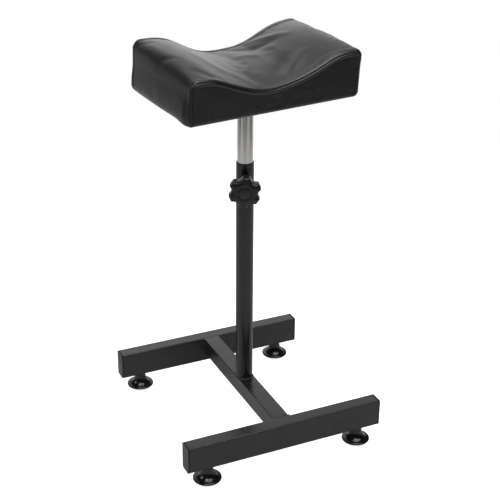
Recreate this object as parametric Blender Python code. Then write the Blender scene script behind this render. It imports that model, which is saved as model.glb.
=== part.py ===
# Tattoo armrest stand: an H-shaped base on levelling feet, a telescoping post and a saddle-shaped pad
# Metres, +Z up. The origin is on the floor under the post's axis, with the rails along X.

import math

import bmesh
import bpy
from mathutils import Vector

# Shared fits
seat_gap = 0.0003
cut_overrun = 0.002

# Base rails, rectangular tube
rail_length = 0.352
rail_width = 0.025
rail_height = 0.048
rail_wall = 0.0012
rail_inner_radius = 0.0006
rail_spacing = 0.324
rail_clearance_under = 0.0265

# Cross bar, square tube flush with the rails' tops
bar_width = 0.0295
bar_height = 0.030
bar_wall = 0.0012
bar_inner_radius = 0.0006

# Rail end caps, moulded plugs
cap_flange_thickness = 0.002
cap_flange_overhang = 0.0004
cap_edge_radius = 0.0005
cap_plug_length = 0.012
cap_plug_wall = 0.0018
cap_nose_chamfer = 0.001

# Levelling feet, each with a round-headed bolt in it and a rivet nut in the rail above it
foot_inset = 0.036
foot_diameter = 0.048
foot_flat_diameter = 0.043
foot_rim_height = 0.0046
foot_neck_diameter = 0.019
foot_recess_diameter = 0.034
foot_recess_depth = 0.002
foot_bolt_diameter = 0.008
foot_bolt_length = 0.038
foot_bolt_chamfer = 0.0008
foot_bolt_head_diameter = 0.013
foot_bolt_head_height = 0.005
nut_flange_diameter = 0.014
nut_flange_thickness = 0.001
nut_wall = 0.0014
nut_bulge_width = 0.0016
nut_bulge_height = 0.003
nut_barrel_length = 0.011

# Post and the tube that telescopes in it
post_diameter = 0.030
post_wall = 0.0015
post_length = 0.4052
post_rim_radius = 0.0003
inner_wall = 0.0012
inner_length = 0.400
rest_rise = 0.1115
guide_flange_thickness = 0.003
guide_plug_length = 0.020
guide_wall = 0.002

# Clamp: boss, screw and star knob
clamp_drop = 0.0381
clamp_turn_degrees = 25.0
clamp_screw_diameter = 0.008
clamp_screw_chamfer = 0.001
clamp_screw_grip = 0.014
boss_diameter = 0.016
boss_length = 0.008
boss_chamfer = 0.0008
hub_clearance = 0.0015
hub_diameter = 0.021
hub_length = 0.005
knob_diameter = 0.054
knob_thickness = 0.018
knob_front_radius = 0.0026
knob_back_radius = 0.0012
knob_scallop_radius = 0.010
knob_scallop_depth = 0.005
knob_lobes = 6
knob_turn_degrees = -6.5
cap_disc_diameter = 0.0205
cap_disc_thickness = 0.0016
cap_disc_dome = 0.0007

# Mounting plate under the pad, with its bolts and tee nuts
plate_thickness = 0.003
plate_margin = 0.0125
plate_corner_radius = 0.008
bolt_spacing_x = 0.085
bolt_spacing_y = 0.065
plate_bolt_diameter = 0.006
plate_bolt_head_across = 0.010
plate_bolt_head_height = 0.004
plate_bolt_chamfer = 0.0006
plate_bolt_tip_inset = 0.0015
tee_barrel_wall = 0.0009
tee_barrel_length = 0.008
tee_flange_diameter = 0.018
tee_flange_thickness = 0.0012

# Pad: sewn cover, foam, board and dust cloth
pad_length = 0.299
pad_width = 0.205
pad_turn_degrees = 5.5
pad_crown = 0.0055
edge_roll = 0.007
end_roll_extra = 0.008
bottom_roll_extra = 0.001
side_draw = 0.0015
cover_thickness = 0.0012
cover_wrap = 0.022
board_thickness = 0.012
board_edge_radius = 0.0005
foam_corner_radius = 0.002
cloth_inset = 0.012
cloth_thickness = 0.0006
cloth_corner_radius = 0.008

# Heights of the saddle over the pad's bottom, along its front and its rear edge
seam_places = (-0.135, -0.112, -0.090, -0.060, -0.034, -0.010, 0.015, 0.045, 0.076, 0.105, 0.135)
front_heights = (0.0650, 0.0639, 0.0564, 0.0451, 0.0384, 0.0375, 0.0409, 0.0483, 0.0600, 0.0713, 0.0742)
rear_heights = (0.0825, 0.0817, 0.0769, 0.0618, 0.0507, 0.0470, 0.0476, 0.0519, 0.0645, 0.0775, 0.0843)

# Facets and creases
tube_sides = 36
bolt_sides = 18
foot_sides = 30
corner_steps = 3
rim_steps = 4
flare_steps = 6
lobe_tip_steps = 3
lobe_scallop_steps = 7
top_steps = 14
roll_steps = 3
crease_degrees = 35
cover_crease_degrees = 60

# The pad's bottom has as many points as its top, two of them on each lower corner.
bottom_steps = top_steps - 4

# Places worked out from the sizes
rail_top = rail_clearance_under + rail_height
rail_middle = rail_clearance_under + rail_height / 2
post_bottom = rail_top + seat_gap
post_top = post_bottom + post_length
post_bore = post_diameter - 2 * post_wall
inner_diameter = post_bore - 2 * seat_gap
inner_bore = inner_diameter - 2 * inner_wall
plate_bottom = post_top + rest_rise
plate_top = plate_bottom + plate_thickness
cloth_bottom = plate_top + seat_gap
cloth_top = cloth_bottom + cloth_thickness
pad_bottom = cloth_top + seat_gap
inner_top = plate_bottom - seat_gap
inner_bottom = inner_top - inner_length
foot_x = rail_length / 2 - foot_inset
foot_y = rail_spacing / 2
clamp_height = post_top - clamp_drop
hub_start = post_diameter / 2 + boss_length + hub_clearance
head_start = hub_start + hub_length
head_end = head_start + knob_thickness
end_roll = edge_roll + end_roll_extra
bottom_roll = edge_roll + bottom_roll_extra
lining = cover_thickness + seat_gap
board_bottom = pad_bottom + lining
board_top = board_bottom + board_thickness
foam_floor = lining + board_thickness + seat_gap
across_post = (0, math.pi / 2, 0)

# Holes that take their size from what passes through or seats in them
foot_bolt_hole = foot_bolt_diameter / 2 + seat_gap
nut_hole = foot_bolt_hole + nut_wall + seat_gap
clamp_screw_hole = clamp_screw_diameter / 2 + seat_gap
plate_bolt_hole = plate_bolt_diameter / 2 + seat_gap
tee_barrel_hole = plate_bolt_hole + tee_barrel_wall + seat_gap
tee_flange_hole = tee_flange_diameter / 2 + seat_gap
tee_recess_floor = board_top - tee_flange_thickness - 2 * seat_gap


def circle(radius, height, sides):
    turns = (2 * math.pi * i / sides for i in range(sides))
    return [Vector((radius * math.cos(a), radius * math.sin(a), height)) for a in turns]


def hexagon(across, height, sides):
    # A hexagon with as many points as a circle beside it in a loft, six of them on its corners.
    points = []
    for i in range(sides):
        angle = 2 * math.pi * i / sides
        from_flat = angle % (math.pi / 3) - math.pi / 6
        radius = across / 2 / math.cos(from_flat)
        points.append(Vector((radius * math.cos(angle), radius * math.sin(angle), height)))
    return points


def disc(across, height, sides):
    return circle(across / 2, height, sides)


def rounded_rectangle(width, depth, radius, height):
    quarters = ((1, 1, 0), (-1, 1, 1), (-1, -1, 2), (1, -1, 3))
    points = []
    for side_x, side_y, quarter in quarters:
        for step in range(corner_steps + 1):
            angle = math.pi / 2 * (quarter + step / corner_steps)
            x = side_x * (width / 2 - radius) + radius * math.cos(angle)
            y = side_y * (depth / 2 - radius) + radius * math.sin(angle)
            points.append(Vector((x, y, height)))
    return points


def along_x(loop):
    # Stands a loop drawn in XY upright, so that its height runs along X.
    return [Vector((p.z, p.x, p.y)) for p in loop]


def along_y(loop):
    # Stands a loop drawn in XY upright, so that its height runs along Y.
    return [Vector((p.x, p.z, p.y)) for p in loop]


def arc(centre_a, centre_b, radius, start, end, steps):
    # Points of a round stretch in a profile, with its angles in quarter turns.
    points = []
    for step in range(steps + 1):
        angle = math.pi / 2 * (start + (end - start) * step / steps)
        points.append((centre_a + radius * math.cos(angle), centre_b + radius * math.sin(angle)))
    return points


def material(name, colour, roughness, metallic):
    made = bpy.data.materials.new(name)
    made.use_nodes = True
    shader = made.node_tree.nodes["Principled BSDF"]
    shader.inputs["Base Color"].default_value = (*colour, 1)
    shader.inputs["Roughness"].default_value = roughness
    shader.inputs["Metallic"].default_value = metallic
    made.diffuse_color = (*colour, 1)
    return made


def mesh_object(name, bm, finish, parent=None, place=(0, 0, 0), turn=(0, 0, 0)):
    bmesh.ops.recalc_face_normals(bm, faces=bm.faces)
    mesh = bpy.data.meshes.new(name)
    bm.to_mesh(mesh)
    bm.free()
    mesh.materials.append(finish)
    mesh.shade_smooth()
    mesh.set_sharp_from_angle(angle=math.radians(crease_degrees))
    return place_object(name, mesh, parent, place, turn)


def place_object(name, mesh, parent=None, place=(0, 0, 0), turn=(0, 0, 0)):
    made = bpy.data.objects.new(name, mesh)
    bpy.context.scene.collection.objects.link(made)
    made.parent = parent
    made.location = place
    made.rotation_euler = turn
    return made


def empty(name, place=(0, 0, 0), turn=(0, 0, 0)):
    made = place_object(name, None, None, place, turn)
    made.empty_display_size = post_diameter
    return made


def loft(loops, ring=False):
    # Joins loops of equally many points. A ring joins the last loop to the first, else both ends are faces.
    bm = bmesh.new()
    rows = [[bm.verts.new(p) for p in loop] for loop in loops]
    count = len(rows[0])
    pairs = list(zip(rows, rows[1:]))
    if ring:
        pairs.append((rows[-1], rows[0]))
    for low, high in pairs:
        for i in range(count):
            j = (i + 1) % count
            bm.faces.new((low[i], low[j], high[j], high[i]))
    if not ring:
        bm.faces.new(list(reversed(rows[0])))
        bm.faces.new(rows[-1])
    return bm


def turned(profile, sides, ring=False):
    return loft([circle(radius, height, sides) for radius, height in profile], ring)


def cut(target, cutter):
    cutter.hide_render = True
    cutter.display_type = "WIRE"
    hole = target.modifiers.new(cutter.name, "BOOLEAN")
    hole.operation = "DIFFERENCE"
    hole.solver = "EXACT"
    hole.object = cutter


def cylinder_cutter(name, radius, start, end, parent=None, place=(0, 0, 0), turn=(0, 0, 0)):
    shape = turned([(radius, start), (radius, end)], bolt_sides)
    return mesh_object(name, shape, zinc_steel, parent, place, turn)


def corners():
    # The four corners that feet, rail caps and plate bolts are named for.
    for end_y, side_y in (("front", -1), ("rear", 1)):
        for end_x, side_x in (("left", -1), ("right", 1)):
            yield f"{end_y}_{end_x}", side_x, side_y


def bolt(name, head, diameter, length, across, head_height, chamfer, head_bottom, parent):
    # The head's outline is given as a function, hexagon or disc.
    radius = diameter / 2
    head_top = head_bottom + head_height
    tip = head_top + length
    loops = [head(across - 2 * chamfer, head_bottom, bolt_sides)]
    loops.append(head(across, head_bottom + chamfer, bolt_sides))
    loops.append(head(across, head_top, bolt_sides))
    loops.append(circle(radius, head_top, bolt_sides))
    loops.append(circle(radius, tip - chamfer, bolt_sides))
    loops.append(circle(radius - chamfer, tip, bolt_sides))
    return mesh_object(name, loft(loops), zinc_steel, parent)


def hollow_bar(width, height, wall, inner_radius, length, stand_up):
    # A rectangular tube about the origin, stood up along X or Y by the function given.
    outer = (width, height, inner_radius + wall)
    bore = (width - 2 * wall, height - 2 * wall, inner_radius)
    loops = []
    for size, side in ((outer, -1), (outer, 1), (bore, 1), (bore, -1)):
        loops.append(stand_up(rounded_rectangle(*size, side * length / 2)))
    return loft(loops, ring=True)


def build_rails():
    shape = hollow_bar(rail_width, rail_height, rail_wall, rail_inner_radius, rail_length, along_x)
    front = mesh_object("front_rail", shape, black_steel, place=(0, -foot_y, rail_middle))
    rear = place_object("rear_rail", front.data, place=(0, foot_y, rail_middle))
    for name, side_x, side_y in corners():
        place = (side_x * foot_x, side_y * foot_y, rail_clearance_under)
        end = rail_wall + cut_overrun
        hole = cylinder_cutter(f"cut_nut_{name}", nut_hole, -cut_overrun, end, None, place)
        cut(front if side_y < 0 else rear, hole)


def build_cross_bar():
    length = rail_spacing - rail_width - 2 * seat_gap
    shape = hollow_bar(bar_width, bar_height, bar_wall, bar_inner_radius, length, along_y)
    mesh_object("cross_bar", shape, black_steel, place=(0, 0, rail_top - bar_height / 2))


def build_rail_caps():
    # From the flange's outer face, over its edge, back to the rail's end, along the plug and into its hollow.
    flange = (rail_width + 2 * cap_flange_overhang, rail_height + 2 * cap_flange_overhang)
    plug = (rail_width - 2 * rail_wall - 2 * seat_gap, rail_height - 2 * rail_wall - 2 * seat_gap)
    flange_radius = rail_inner_radius + cap_flange_overhang
    outline = [(flange, cap_edge_radius, flange_radius, cap_flange_thickness)]
    outline += [(flange, 0, flange_radius, cap_flange_thickness - cap_edge_radius)]
    outline += [(flange, 0, flange_radius, 0)]
    outline += [(plug, 0, rail_inner_radius, 0)]
    outline += [(plug, 0, rail_inner_radius, cap_nose_chamfer - cap_plug_length)]
    outline += [(plug, cap_nose_chamfer, rail_inner_radius, -cap_plug_length)]
    outline += [(plug, cap_plug_wall, rail_inner_radius, -cap_plug_length)]
    outline += [(plug, cap_plug_wall, rail_inner_radius, -seat_gap)]
    loops = []
    for (width, height), inset, radius, place in outline:
        loops.append(along_x(rounded_rectangle(width - 2 * inset, height - 2 * inset, radius, place)))
    shape = mesh_object("rail_cap_front_left", loft(loops), matte_black)
    for name, side_x, side_y in corners():
        cap = shape if name == "front_left" else place_object(f"rail_cap_{name}", shape.data)
        cap.location = (side_x * (rail_length / 2 + seat_gap), side_y * foot_y, rail_middle)
        cap.rotation_euler = (0, 0, 0 if side_x > 0 else math.pi)


def foot_profile():
    # From the bolt head's pocket out along the underside, over the rim, up the flare and into the neck.
    top = rail_clearance_under - seat_gap
    pocket = foot_bolt_head_diameter / 2 + seat_gap
    pocket_top = foot_recess_depth + foot_bolt_head_height + seat_gap
    flat = foot_flat_diameter / 2
    bulge = foot_diameter / 2 - flat
    rise = foot_rim_height / 2
    recess = foot_recess_diameter / 2
    well = nut_flange_diameter / 2 + seat_gap
    well_floor = top - nut_flange_thickness - 2 * seat_gap
    profile = [(foot_bolt_hole, pocket_top), (pocket, pocket_top), (pocket, foot_recess_depth)]
    profile += [(recess, foot_recess_depth), (recess, 0)]
    for step in range(rim_steps + 1):
        angle = math.pi * step / rim_steps
        profile.append((flat + bulge * math.sin(angle), rise - rise * math.cos(angle)))
    for step in range(1, flare_steps + 1):
        angle = math.pi / 2 * step / flare_steps
        reach = flat - (flat - foot_neck_diameter / 2) * math.sin(angle)
        profile.append((reach, top - (top - foot_rim_height) * math.cos(angle)))
    return profile + [(well, top), (well, well_floor), (foot_bolt_hole, well_floor)]


def rivet_nut():
    # A flange under the rail's wall, a barrel through it and a bulge that grips the wall from above.
    flange_top = rail_clearance_under - seat_gap
    wall_top = rail_clearance_under + rail_wall + seat_gap
    flange_bottom = flange_top - nut_flange_thickness
    flange = nut_flange_diameter / 2
    barrel = foot_bolt_hole + nut_wall
    bulge = barrel + nut_bulge_width
    profile = [(foot_bolt_hole, flange_bottom), (flange, flange_bottom), (flange, flange_top)]
    profile += [(barrel, flange_top), (barrel, wall_top), (bulge, wall_top)]
    profile += [(bulge, wall_top + nut_bulge_height / 2), (barrel, wall_top + nut_bulge_height)]
    profile += [(barrel, wall_top + nut_barrel_length), (foot_bolt_hole, wall_top + nut_barrel_length)]
    return turned(profile, bolt_sides, ring=True)


def build_feet():
    base = mesh_object("foot_base_front_left", turned(foot_profile(), foot_sides, ring=True), gloss_black)
    stud = bolt("foot_bolt_front_left", disc, foot_bolt_diameter, foot_bolt_length, foot_bolt_head_diameter,
                foot_bolt_head_height, foot_bolt_chamfer, foot_recess_depth, None)
    nut = mesh_object("foot_nut_front_left", rivet_nut(), zinc_steel)
    for name, side_x, side_y in corners():
        place = (side_x * foot_x, side_y * foot_y, 0)
        axis = empty(f"foot_axis_{name}", place)
        for shape, kind in ((base, "foot_base"), (stud, "foot_bolt")):
            piece = shape if name == "front_left" else place_object(f"{kind}_{name}", shape.data)
            piece.parent = axis
        fixed = nut if name == "front_left" else place_object(f"foot_nut_{name}", nut.data)
        fixed.location = place


def build_post():
    outer = post_diameter / 2
    bore = post_bore / 2
    rim = post_rim_radius
    profile = [(outer, post_bottom), (outer, post_top - rim), (outer - rim, post_top)]
    profile += [(bore + rim, post_top), (bore, post_top - rim), (bore, post_bottom)]
    post = mesh_object("outer_tube", turned(profile, tube_sides, ring=True), black_steel)
    reach = outer + cut_overrun
    cut(post, cylinder_cutter("cut_clamp_hole", clamp_screw_hole, 0, reach, clamp_axis, turn=across_post))


def build_lift():
    radius = inner_diameter / 2
    bore = inner_bore / 2
    tube_profile = [(radius, inner_bottom), (radius, inner_top), (bore, inner_top), (bore, inner_bottom)]
    mesh_object("inner_tube", turned(tube_profile, tube_sides, ring=True), chrome_steel, swivel_axis)

    plug = bore - seat_gap
    hollow = plug - guide_wall
    seat = inner_bottom - seat_gap
    guide_profile = [(hollow, seat - guide_flange_thickness), (radius, seat - guide_flange_thickness)]
    guide_profile += [(radius, seat), (plug, seat), (plug, seat + guide_plug_length)]
    guide_profile += [(hollow, seat + guide_plug_length)]
    mesh_object("lower_guide", turned(guide_profile, tube_sides, ring=True), matte_black, lift_axis)


def drill(target, kind, radius, start, end):
    # Cuts one kind of hole through a piece of the pad at each plate bolt.
    for name, side_x, side_y in corners():
        place = (side_x * bolt_spacing_x / 2, side_y * bolt_spacing_y / 2, 0)
        hole_name = f"cut_{kind}_{name}"
        cut(target, cylinder_cutter(hole_name, radius, start, end + cut_overrun, swivel_axis, place))


def build_plate():
    width = bolt_spacing_x + 2 * plate_margin
    depth = bolt_spacing_y + 2 * plate_margin
    loops = [rounded_rectangle(width, depth, plate_corner_radius, z) for z in (plate_bottom, plate_top)]
    plate = mesh_object("mount_plate", loft(loops), black_steel, swivel_axis)
    drill(plate, "plate", plate_bolt_hole, plate_bottom - cut_overrun, plate_top)


def build_dust_cloth():
    length = pad_length - 2 * cloth_inset
    width = pad_width - 2 * cloth_inset
    loops = [rounded_rectangle(length, width, cloth_corner_radius, z) for z in (cloth_bottom, cloth_top)]
    cloth = mesh_object("dust_cloth", loft(loops), black_cloth, swivel_axis)
    drill(cloth, "cloth", plate_bolt_hole, cloth_bottom - cut_overrun, cloth_top)


def build_board():
    # Rounded underneath as the cover's lower edge is, so that the cover lies on it.
    length = pad_length - 2 * (lining + side_draw)
    width = pad_width - 2 * (lining + side_draw)
    edge = board_edge_radius
    outline = arc(bottom_roll, bottom_roll, bottom_roll, 3, 2, roll_steps)
    outline += [(0, board_thickness - edge), (edge, board_thickness)]
    loops = []
    for inset, height in outline:
        size = (length - 2 * inset, width - 2 * inset, 2 * bottom_roll - inset)
        loops.append(rounded_rectangle(*size, board_bottom + height))
    board = mesh_object("pad_board", loft(loops), plywood, swivel_axis)
    drill(board, "barrel", tee_barrel_hole, board_bottom - cut_overrun, board_top)
    drill(board, "recess", tee_flange_hole, tee_recess_floor, board_top)


def build_plate_fasteners():
    flange_bottom = tee_recess_floor + seat_gap
    flange_top = flange_bottom + tee_flange_thickness
    barrel_bottom = flange_bottom - tee_barrel_length
    barrel = plate_bolt_hole + tee_barrel_wall
    flange = tee_flange_diameter / 2
    profile = [(plate_bolt_hole, barrel_bottom), (barrel, barrel_bottom), (barrel, flange_bottom)]
    profile += [(flange, flange_bottom), (flange, flange_top), (plate_bolt_hole, flange_top)]
    tee = mesh_object("tee_nut_front_left", turned(profile, bolt_sides, ring=True), zinc_steel, swivel_axis)
    head_top = plate_bottom - seat_gap
    length = board_top - plate_bolt_tip_inset - head_top
    head_bottom = head_top - plate_bolt_head_height
    screw = bolt("plate_bolt_front_left", hexagon, plate_bolt_diameter, length, plate_bolt_head_across,
                 plate_bolt_head_height, plate_bolt_chamfer, head_bottom, swivel_axis)
    for name, side_x, side_y in corners():
        place = (side_x * bolt_spacing_x / 2, side_y * bolt_spacing_y / 2, 0)
        for shape, kind in ((tee, "tee_nut"), (screw, "plate_bolt")):
            piece = shape if name == "front_left" else place_object(f"{kind}_{name}", shape.data)
            piece.parent = swivel_axis
            piece.location = place


def seam_slopes(heights):
    # Slopes of a smooth line through the seam's heights, level at both ends.
    inner = []
    for i in range(1, len(heights) - 1):
        inner.append((heights[i + 1] - heights[i - 1]) / (seam_places[i + 1] - seam_places[i - 1]))
    return [0] + inner + [0]


def seam_height(x, heights):
    x = min(max(x, seam_places[0]), seam_places[-1])
    i = min(sum(place < x for place in seam_places[1:]), len(heights) - 2)
    span = seam_places[i + 1] - seam_places[i]
    t = (x - seam_places[i]) / span
    slopes = seam_slopes(heights)
    start = (1 + 2 * t) * (1 - t) ** 2 * heights[i] + t * (1 - t) ** 2 * span * slopes[i]
    return start + t * t * (3 - 2 * t) * heights[i + 1] + t * t * (t - 1) * span * slopes[i + 1]


def saddle(x, y):
    # Height of the pad's top: from the front seam to the rear one, crowned between them.
    flat = pad_width / 2 - edge_roll
    share = min(max((y / flat + 1) / 2, 0), 1)
    rise = pad_crown * max(1 - (y / flat) ** 2, 0)
    return (1 - share) * seam_height(x, front_heights) + share * seam_height(x, rear_heights) + rise


def pad_end(crest, half, roll, floor, corner):
    # The left end of the pad's outline, from the end of its top down to its bottom.
    points = arc(roll - half, crest - roll, roll, 1, 2, roll_steps)[1:]
    points.append((-half, (crest - roll + floor + corner) / 2))
    return points + arc(corner - half, floor + corner, corner, 2, 3, roll_steps)


def section(y, inset, floor, corner):
    # The pad's outline in XZ: over the saddle from the right, down the left end, along the bottom and up.
    half = pad_length / 2 - inset
    roll = end_roll - inset
    reach = half - roll
    top = []
    for step in range(top_steps + 1):
        x = reach * (1 - 2 * step / top_steps)
        top.append((x, saddle(x, y) - inset))
    left = pad_end(top[-1][1], half, roll, floor, corner)
    edge = pad_length / 2 - cover_wrap
    bottom = [(edge * (2 * step / bottom_steps - 1), floor) for step in range(bottom_steps + 1)]
    right = [(-x, z) for x, z in reversed(pad_end(top[0][1], half, roll, floor, corner))]
    return top + left + bottom + right


def drawn_in(point):
    # Pulls the side faces in between their upper and lower edges, most at mid height.
    draw = side_draw * math.sin(math.pi * min(max(point.z / saddle(point.x, point.y), 0), 1))
    along = min(max((abs(point.x) - pad_length / 2 + edge_roll) / edge_roll, 0), 1)
    across = min(max((abs(point.y) - pad_width / 2 + edge_roll) / edge_roll, 0), 1)
    x = point.x - math.copysign(draw * along, point.x)
    y = point.y - math.copysign(draw * across, point.y)
    return Vector((x, y, point.z))


def pad_stations(inset, floor=None, corner=None):
    # Loops of the pad's form from front to rear, inset from the cover's outside.
    roll = edge_roll - inset
    flat = pad_width / 2 - edge_roll
    opening = pad_width / 2 - cover_wrap
    stations = []
    for step in range(roll_steps):
        angle = math.pi / 2 * (1 - step / (roll_steps - 1))
        stations.append((-flat - roll * math.sin(angle), inset + roll * (1 - math.cos(angle))))
    rear = [(-y, inward) for y, inward in reversed(stations)]
    stations += [(y, inset) for y in (-opening, -opening / 2, 0, opening / 2, opening)] + rear
    loops = []
    for y, inward in stations:
        low = inward if floor is None else floor
        round_corner = bottom_roll - inward if corner is None else corner
        loops.append([Vector((x, y, z)) for x, z in section(y, inward, low, round_corner)])
    return loops


def side_panel(bm, loop):
    # Fills a saddle-shaped side with a grid between the loop's top, bottom and two ends.
    count = len(loop)
    ends = (count - 2 * top_steps) // 2
    top = loop[: top_steps + 1]
    left = loop[top_steps : top_steps + ends + 1]
    bottom = [loop[(count - ends - step) % count] for step in range(top_steps + 1)]
    right = [loop[(count - step) % count] for step in range(ends + 1)]
    drop = right[0].co.z - right[-1].co.z
    grid = [top]
    for row in range(1, ends):
        v = (right[0].co.z - right[row].co.z) / drop
        line = [right[row]]
        for column in range(1, top_steps):
            u = column / top_steps
            a, b, c, d = (vert.co for vert in (top[column], bottom[column], right[row], left[row]))
            flat = (1 - u) * (1 - v) * top[0].co + u * (1 - v) * top[-1].co
            flat += (1 - u) * v * bottom[0].co + u * v * bottom[-1].co
            line.append(bm.verts.new((1 - v) * a + v * b + (1 - u) * c + u * d - flat))
        line.append(left[row])
        grid.append(line)
    grid.append(bottom)
    for upper, lower in zip(grid, grid[1:]):
        for i in range(top_steps):
            bm.faces.new((upper[i], upper[i + 1], lower[i + 1], lower[i]))


def pad_skin(bm, loops, opening=False):
    # One closed skin of the pad's form, or one left open under the pad where the cover's wrap ends.
    rows = [[bm.verts.new(p) for p in loop] for loop in loops]
    count = len(rows[0])
    open_from = (count + top_steps - bottom_steps) // 2
    open_to = open_from + bottom_steps
    wrapped_rows = range(roll_steps, len(rows) - roll_steps - 1)
    for j in range(len(rows) - 1):
        for i in range(count):
            if opening and j in wrapped_rows and open_from <= i < open_to:
                continue
            k = (i + 1) % count
            bm.faces.new((rows[j][i], rows[j][k], rows[j + 1][k], rows[j + 1][i]))
    side_panel(bm, rows[0])
    side_panel(bm, rows[-1])
    return [vert for row in rows for vert in row]


def build_cover():
    # An outer and an inner skin, joined around the opening under the pad.
    bm = bmesh.new()
    outer = pad_skin(bm, pad_stations(0), opening=True)
    inner = pad_skin(bm, pad_stations(cover_thickness), opening=True)
    partner = dict(zip(outer, inner))
    for edge in [edge for edge in bm.edges if edge.is_boundary and edge.verts[0] in partner]:
        a, b = edge.verts
        bm.faces.new((a, b, partner[b], partner[a]))
    for vert in bm.verts:
        vert.co = drawn_in(vert.co)
    cover = mesh_object("pad_cover", bm, leatherette, swivel_axis, (0, 0, pad_bottom))
    cover.data.set_sharp_from_angle(angle=math.radians(cover_crease_degrees))


def build_foam():
    bm = bmesh.new()
    pad_skin(bm, pad_stations(lining, foam_floor, foam_corner_radius))
    for vert in bm.verts:
        vert.co = drawn_in(vert.co)
    mesh_object("pad_foam", bm, foam, swivel_axis, (0, 0, pad_bottom))


def build_clamp():
    outer = post_diameter / 2
    boss = boss_diameter / 2
    end = outer + boss_length
    profile = [(clamp_screw_hole, 0), (boss, 0), (boss, end - boss_chamfer)]
    profile += [(boss - boss_chamfer, end), (clamp_screw_hole, end)]
    shape = turned(profile, bolt_sides, ring=True)
    piece = mesh_object("clamp_boss", shape, black_steel, clamp_axis, turn=across_post)
    saddle_bottom = clamp_height - boss - cut_overrun
    saddle_top = clamp_height + boss + cut_overrun
    mould = turned([(outer + seat_gap, saddle_bottom), (outer + seat_gap, saddle_top)], tube_sides)
    cut(piece, mesh_object("cut_boss_saddle", mould, zinc_steel))

    radius = clamp_screw_diameter / 2
    chamfer = clamp_screw_chamfer
    tip = inner_diameter / 2 + seat_gap
    tail = hub_start + clamp_screw_grip - seat_gap
    profile = [(radius - chamfer, tip), (radius, tip + chamfer), (radius, tail)]
    mesh_object("clamp_screw", turned(profile, bolt_sides), zinc_steel, clamp_axis, turn=across_post)


def lobe_angles():
    # Pairs of an angle and its distance from the middle of a scallop, or None on a lobe's tip.
    distance = knob_diameter / 2 - knob_scallop_depth + knob_scallop_radius
    radius = knob_diameter / 2
    half_cut = math.acos((distance ** 2 + radius ** 2 - knob_scallop_radius ** 2) / (2 * distance * radius))
    pitch = 2 * math.pi / knob_lobes
    angles = []
    for lobe in range(knob_lobes):
        middle = lobe * pitch + math.radians(knob_turn_degrees)
        for step in range(lobe_tip_steps):
            angles.append((middle + (pitch - 2 * half_cut) * (step / lobe_tip_steps - 1 / 2), None))
        for step in range(lobe_scallop_steps):
            off = half_cut * (2 * step / lobe_scallop_steps - 1)
            angles.append((middle + pitch / 2 + off, off))
    return angles


def lobed(shrink, height):
    # The knob's outline: tips on the outer circle, with round scallops cut between them.
    distance = knob_diameter / 2 - knob_scallop_depth + knob_scallop_radius
    scallop = knob_scallop_radius + shrink
    points = []
    for angle, off in lobe_angles():
        reach = knob_diameter / 2 - shrink
        if off is not None:
            half_chord = math.sqrt(max(scallop ** 2 - (distance * math.sin(off)) ** 2, 0))
            reach = min(reach, distance * math.cos(off) - half_chord)
        points.append(Vector((reach * math.cos(angle), reach * math.sin(angle), height)))
    return points


def plain(radius, height):
    # A circle with its points at the same angles as the knob's outline.
    return [Vector((radius * math.cos(a), radius * math.sin(a), height)) for a, off in lobe_angles()]


def build_knob():
    hub = hub_diameter / 2
    bore_end = hub_start + clamp_screw_grip
    well = cap_disc_diameter / 2 + seat_gap
    well_floor = head_end - cap_disc_thickness - seat_gap
    front = knob_front_radius
    loops = [plain(clamp_screw_hole, bore_end), plain(clamp_screw_hole, hub_start)]
    loops += [plain(hub, hub_start), plain(hub, head_start)]
    loops += [lobed(knob_back_radius, head_start), lobed(0, head_start + knob_back_radius)]
    front_edge = arc(front, head_end - front, front, 2, 1, roll_steps)
    loops += [lobed(shrink, height) for shrink, height in front_edge]
    loops += [plain(well, head_end), plain(well, well_floor)]
    mesh_object("star_knob", loft(loops), matte_black, clamp_axis, turn=across_post)

    radius = cap_disc_diameter / 2
    bottom = well_floor + seat_gap
    rim = bottom + cap_disc_thickness - cap_disc_dome
    profile = [(radius, bottom), (radius, rim)]
    for step in range(1, roll_steps + 1):
        share = 1 - step / (roll_steps + 1)
        profile.append((radius * share, rim + cap_disc_dome * (1 - share ** 2)))
    mesh_object("knob_cap", turned(profile, bolt_sides), gloss_black, clamp_axis, turn=across_post)


for old in list(bpy.data.objects):
    bpy.data.objects.remove(old)

black_steel = material("black_steel", (0.03, 0.03, 0.031), 0.42, 0.0)
chrome_steel = material("chrome_steel", (0.62, 0.61, 0.59), 0.24, 1.0)
zinc_steel = material("zinc_steel", (0.55, 0.55, 0.53), 0.35, 1.0)
matte_black = material("matte_black", (0.022, 0.022, 0.023), 0.5, 0.0)
gloss_black = material("gloss_black", (0.012, 0.012, 0.013), 0.16, 0.0)
leatherette = material("leatherette", (0.018, 0.018, 0.019), 0.38, 0.0)
foam = material("foam", (0.72, 0.66, 0.42), 0.95, 0.0)
plywood = material("plywood", (0.55, 0.38, 0.21), 0.7, 0.0)
black_cloth = material("black_cloth", (0.02, 0.02, 0.02), 0.9, 0.0)

lift_axis = empty("lift_axis")
swivel_axis = empty("swivel_axis", turn=(0, 0, math.radians(pad_turn_degrees)))
clamp_axis = empty("clamp_axis", (0, 0, clamp_height), (0, 0, math.radians(-90 - clamp_turn_degrees)))

build_rails()
build_cross_bar()
build_rail_caps()
build_feet()
build_post()
build_clamp()
build_knob()
build_lift()
build_plate()
build_dust_cloth()
build_board()
build_plate_fasteners()
build_cover()
build_foam()
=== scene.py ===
import math

import bmesh
import bpy
import numpy as np
from mathutils import Matrix, Vector


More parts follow.
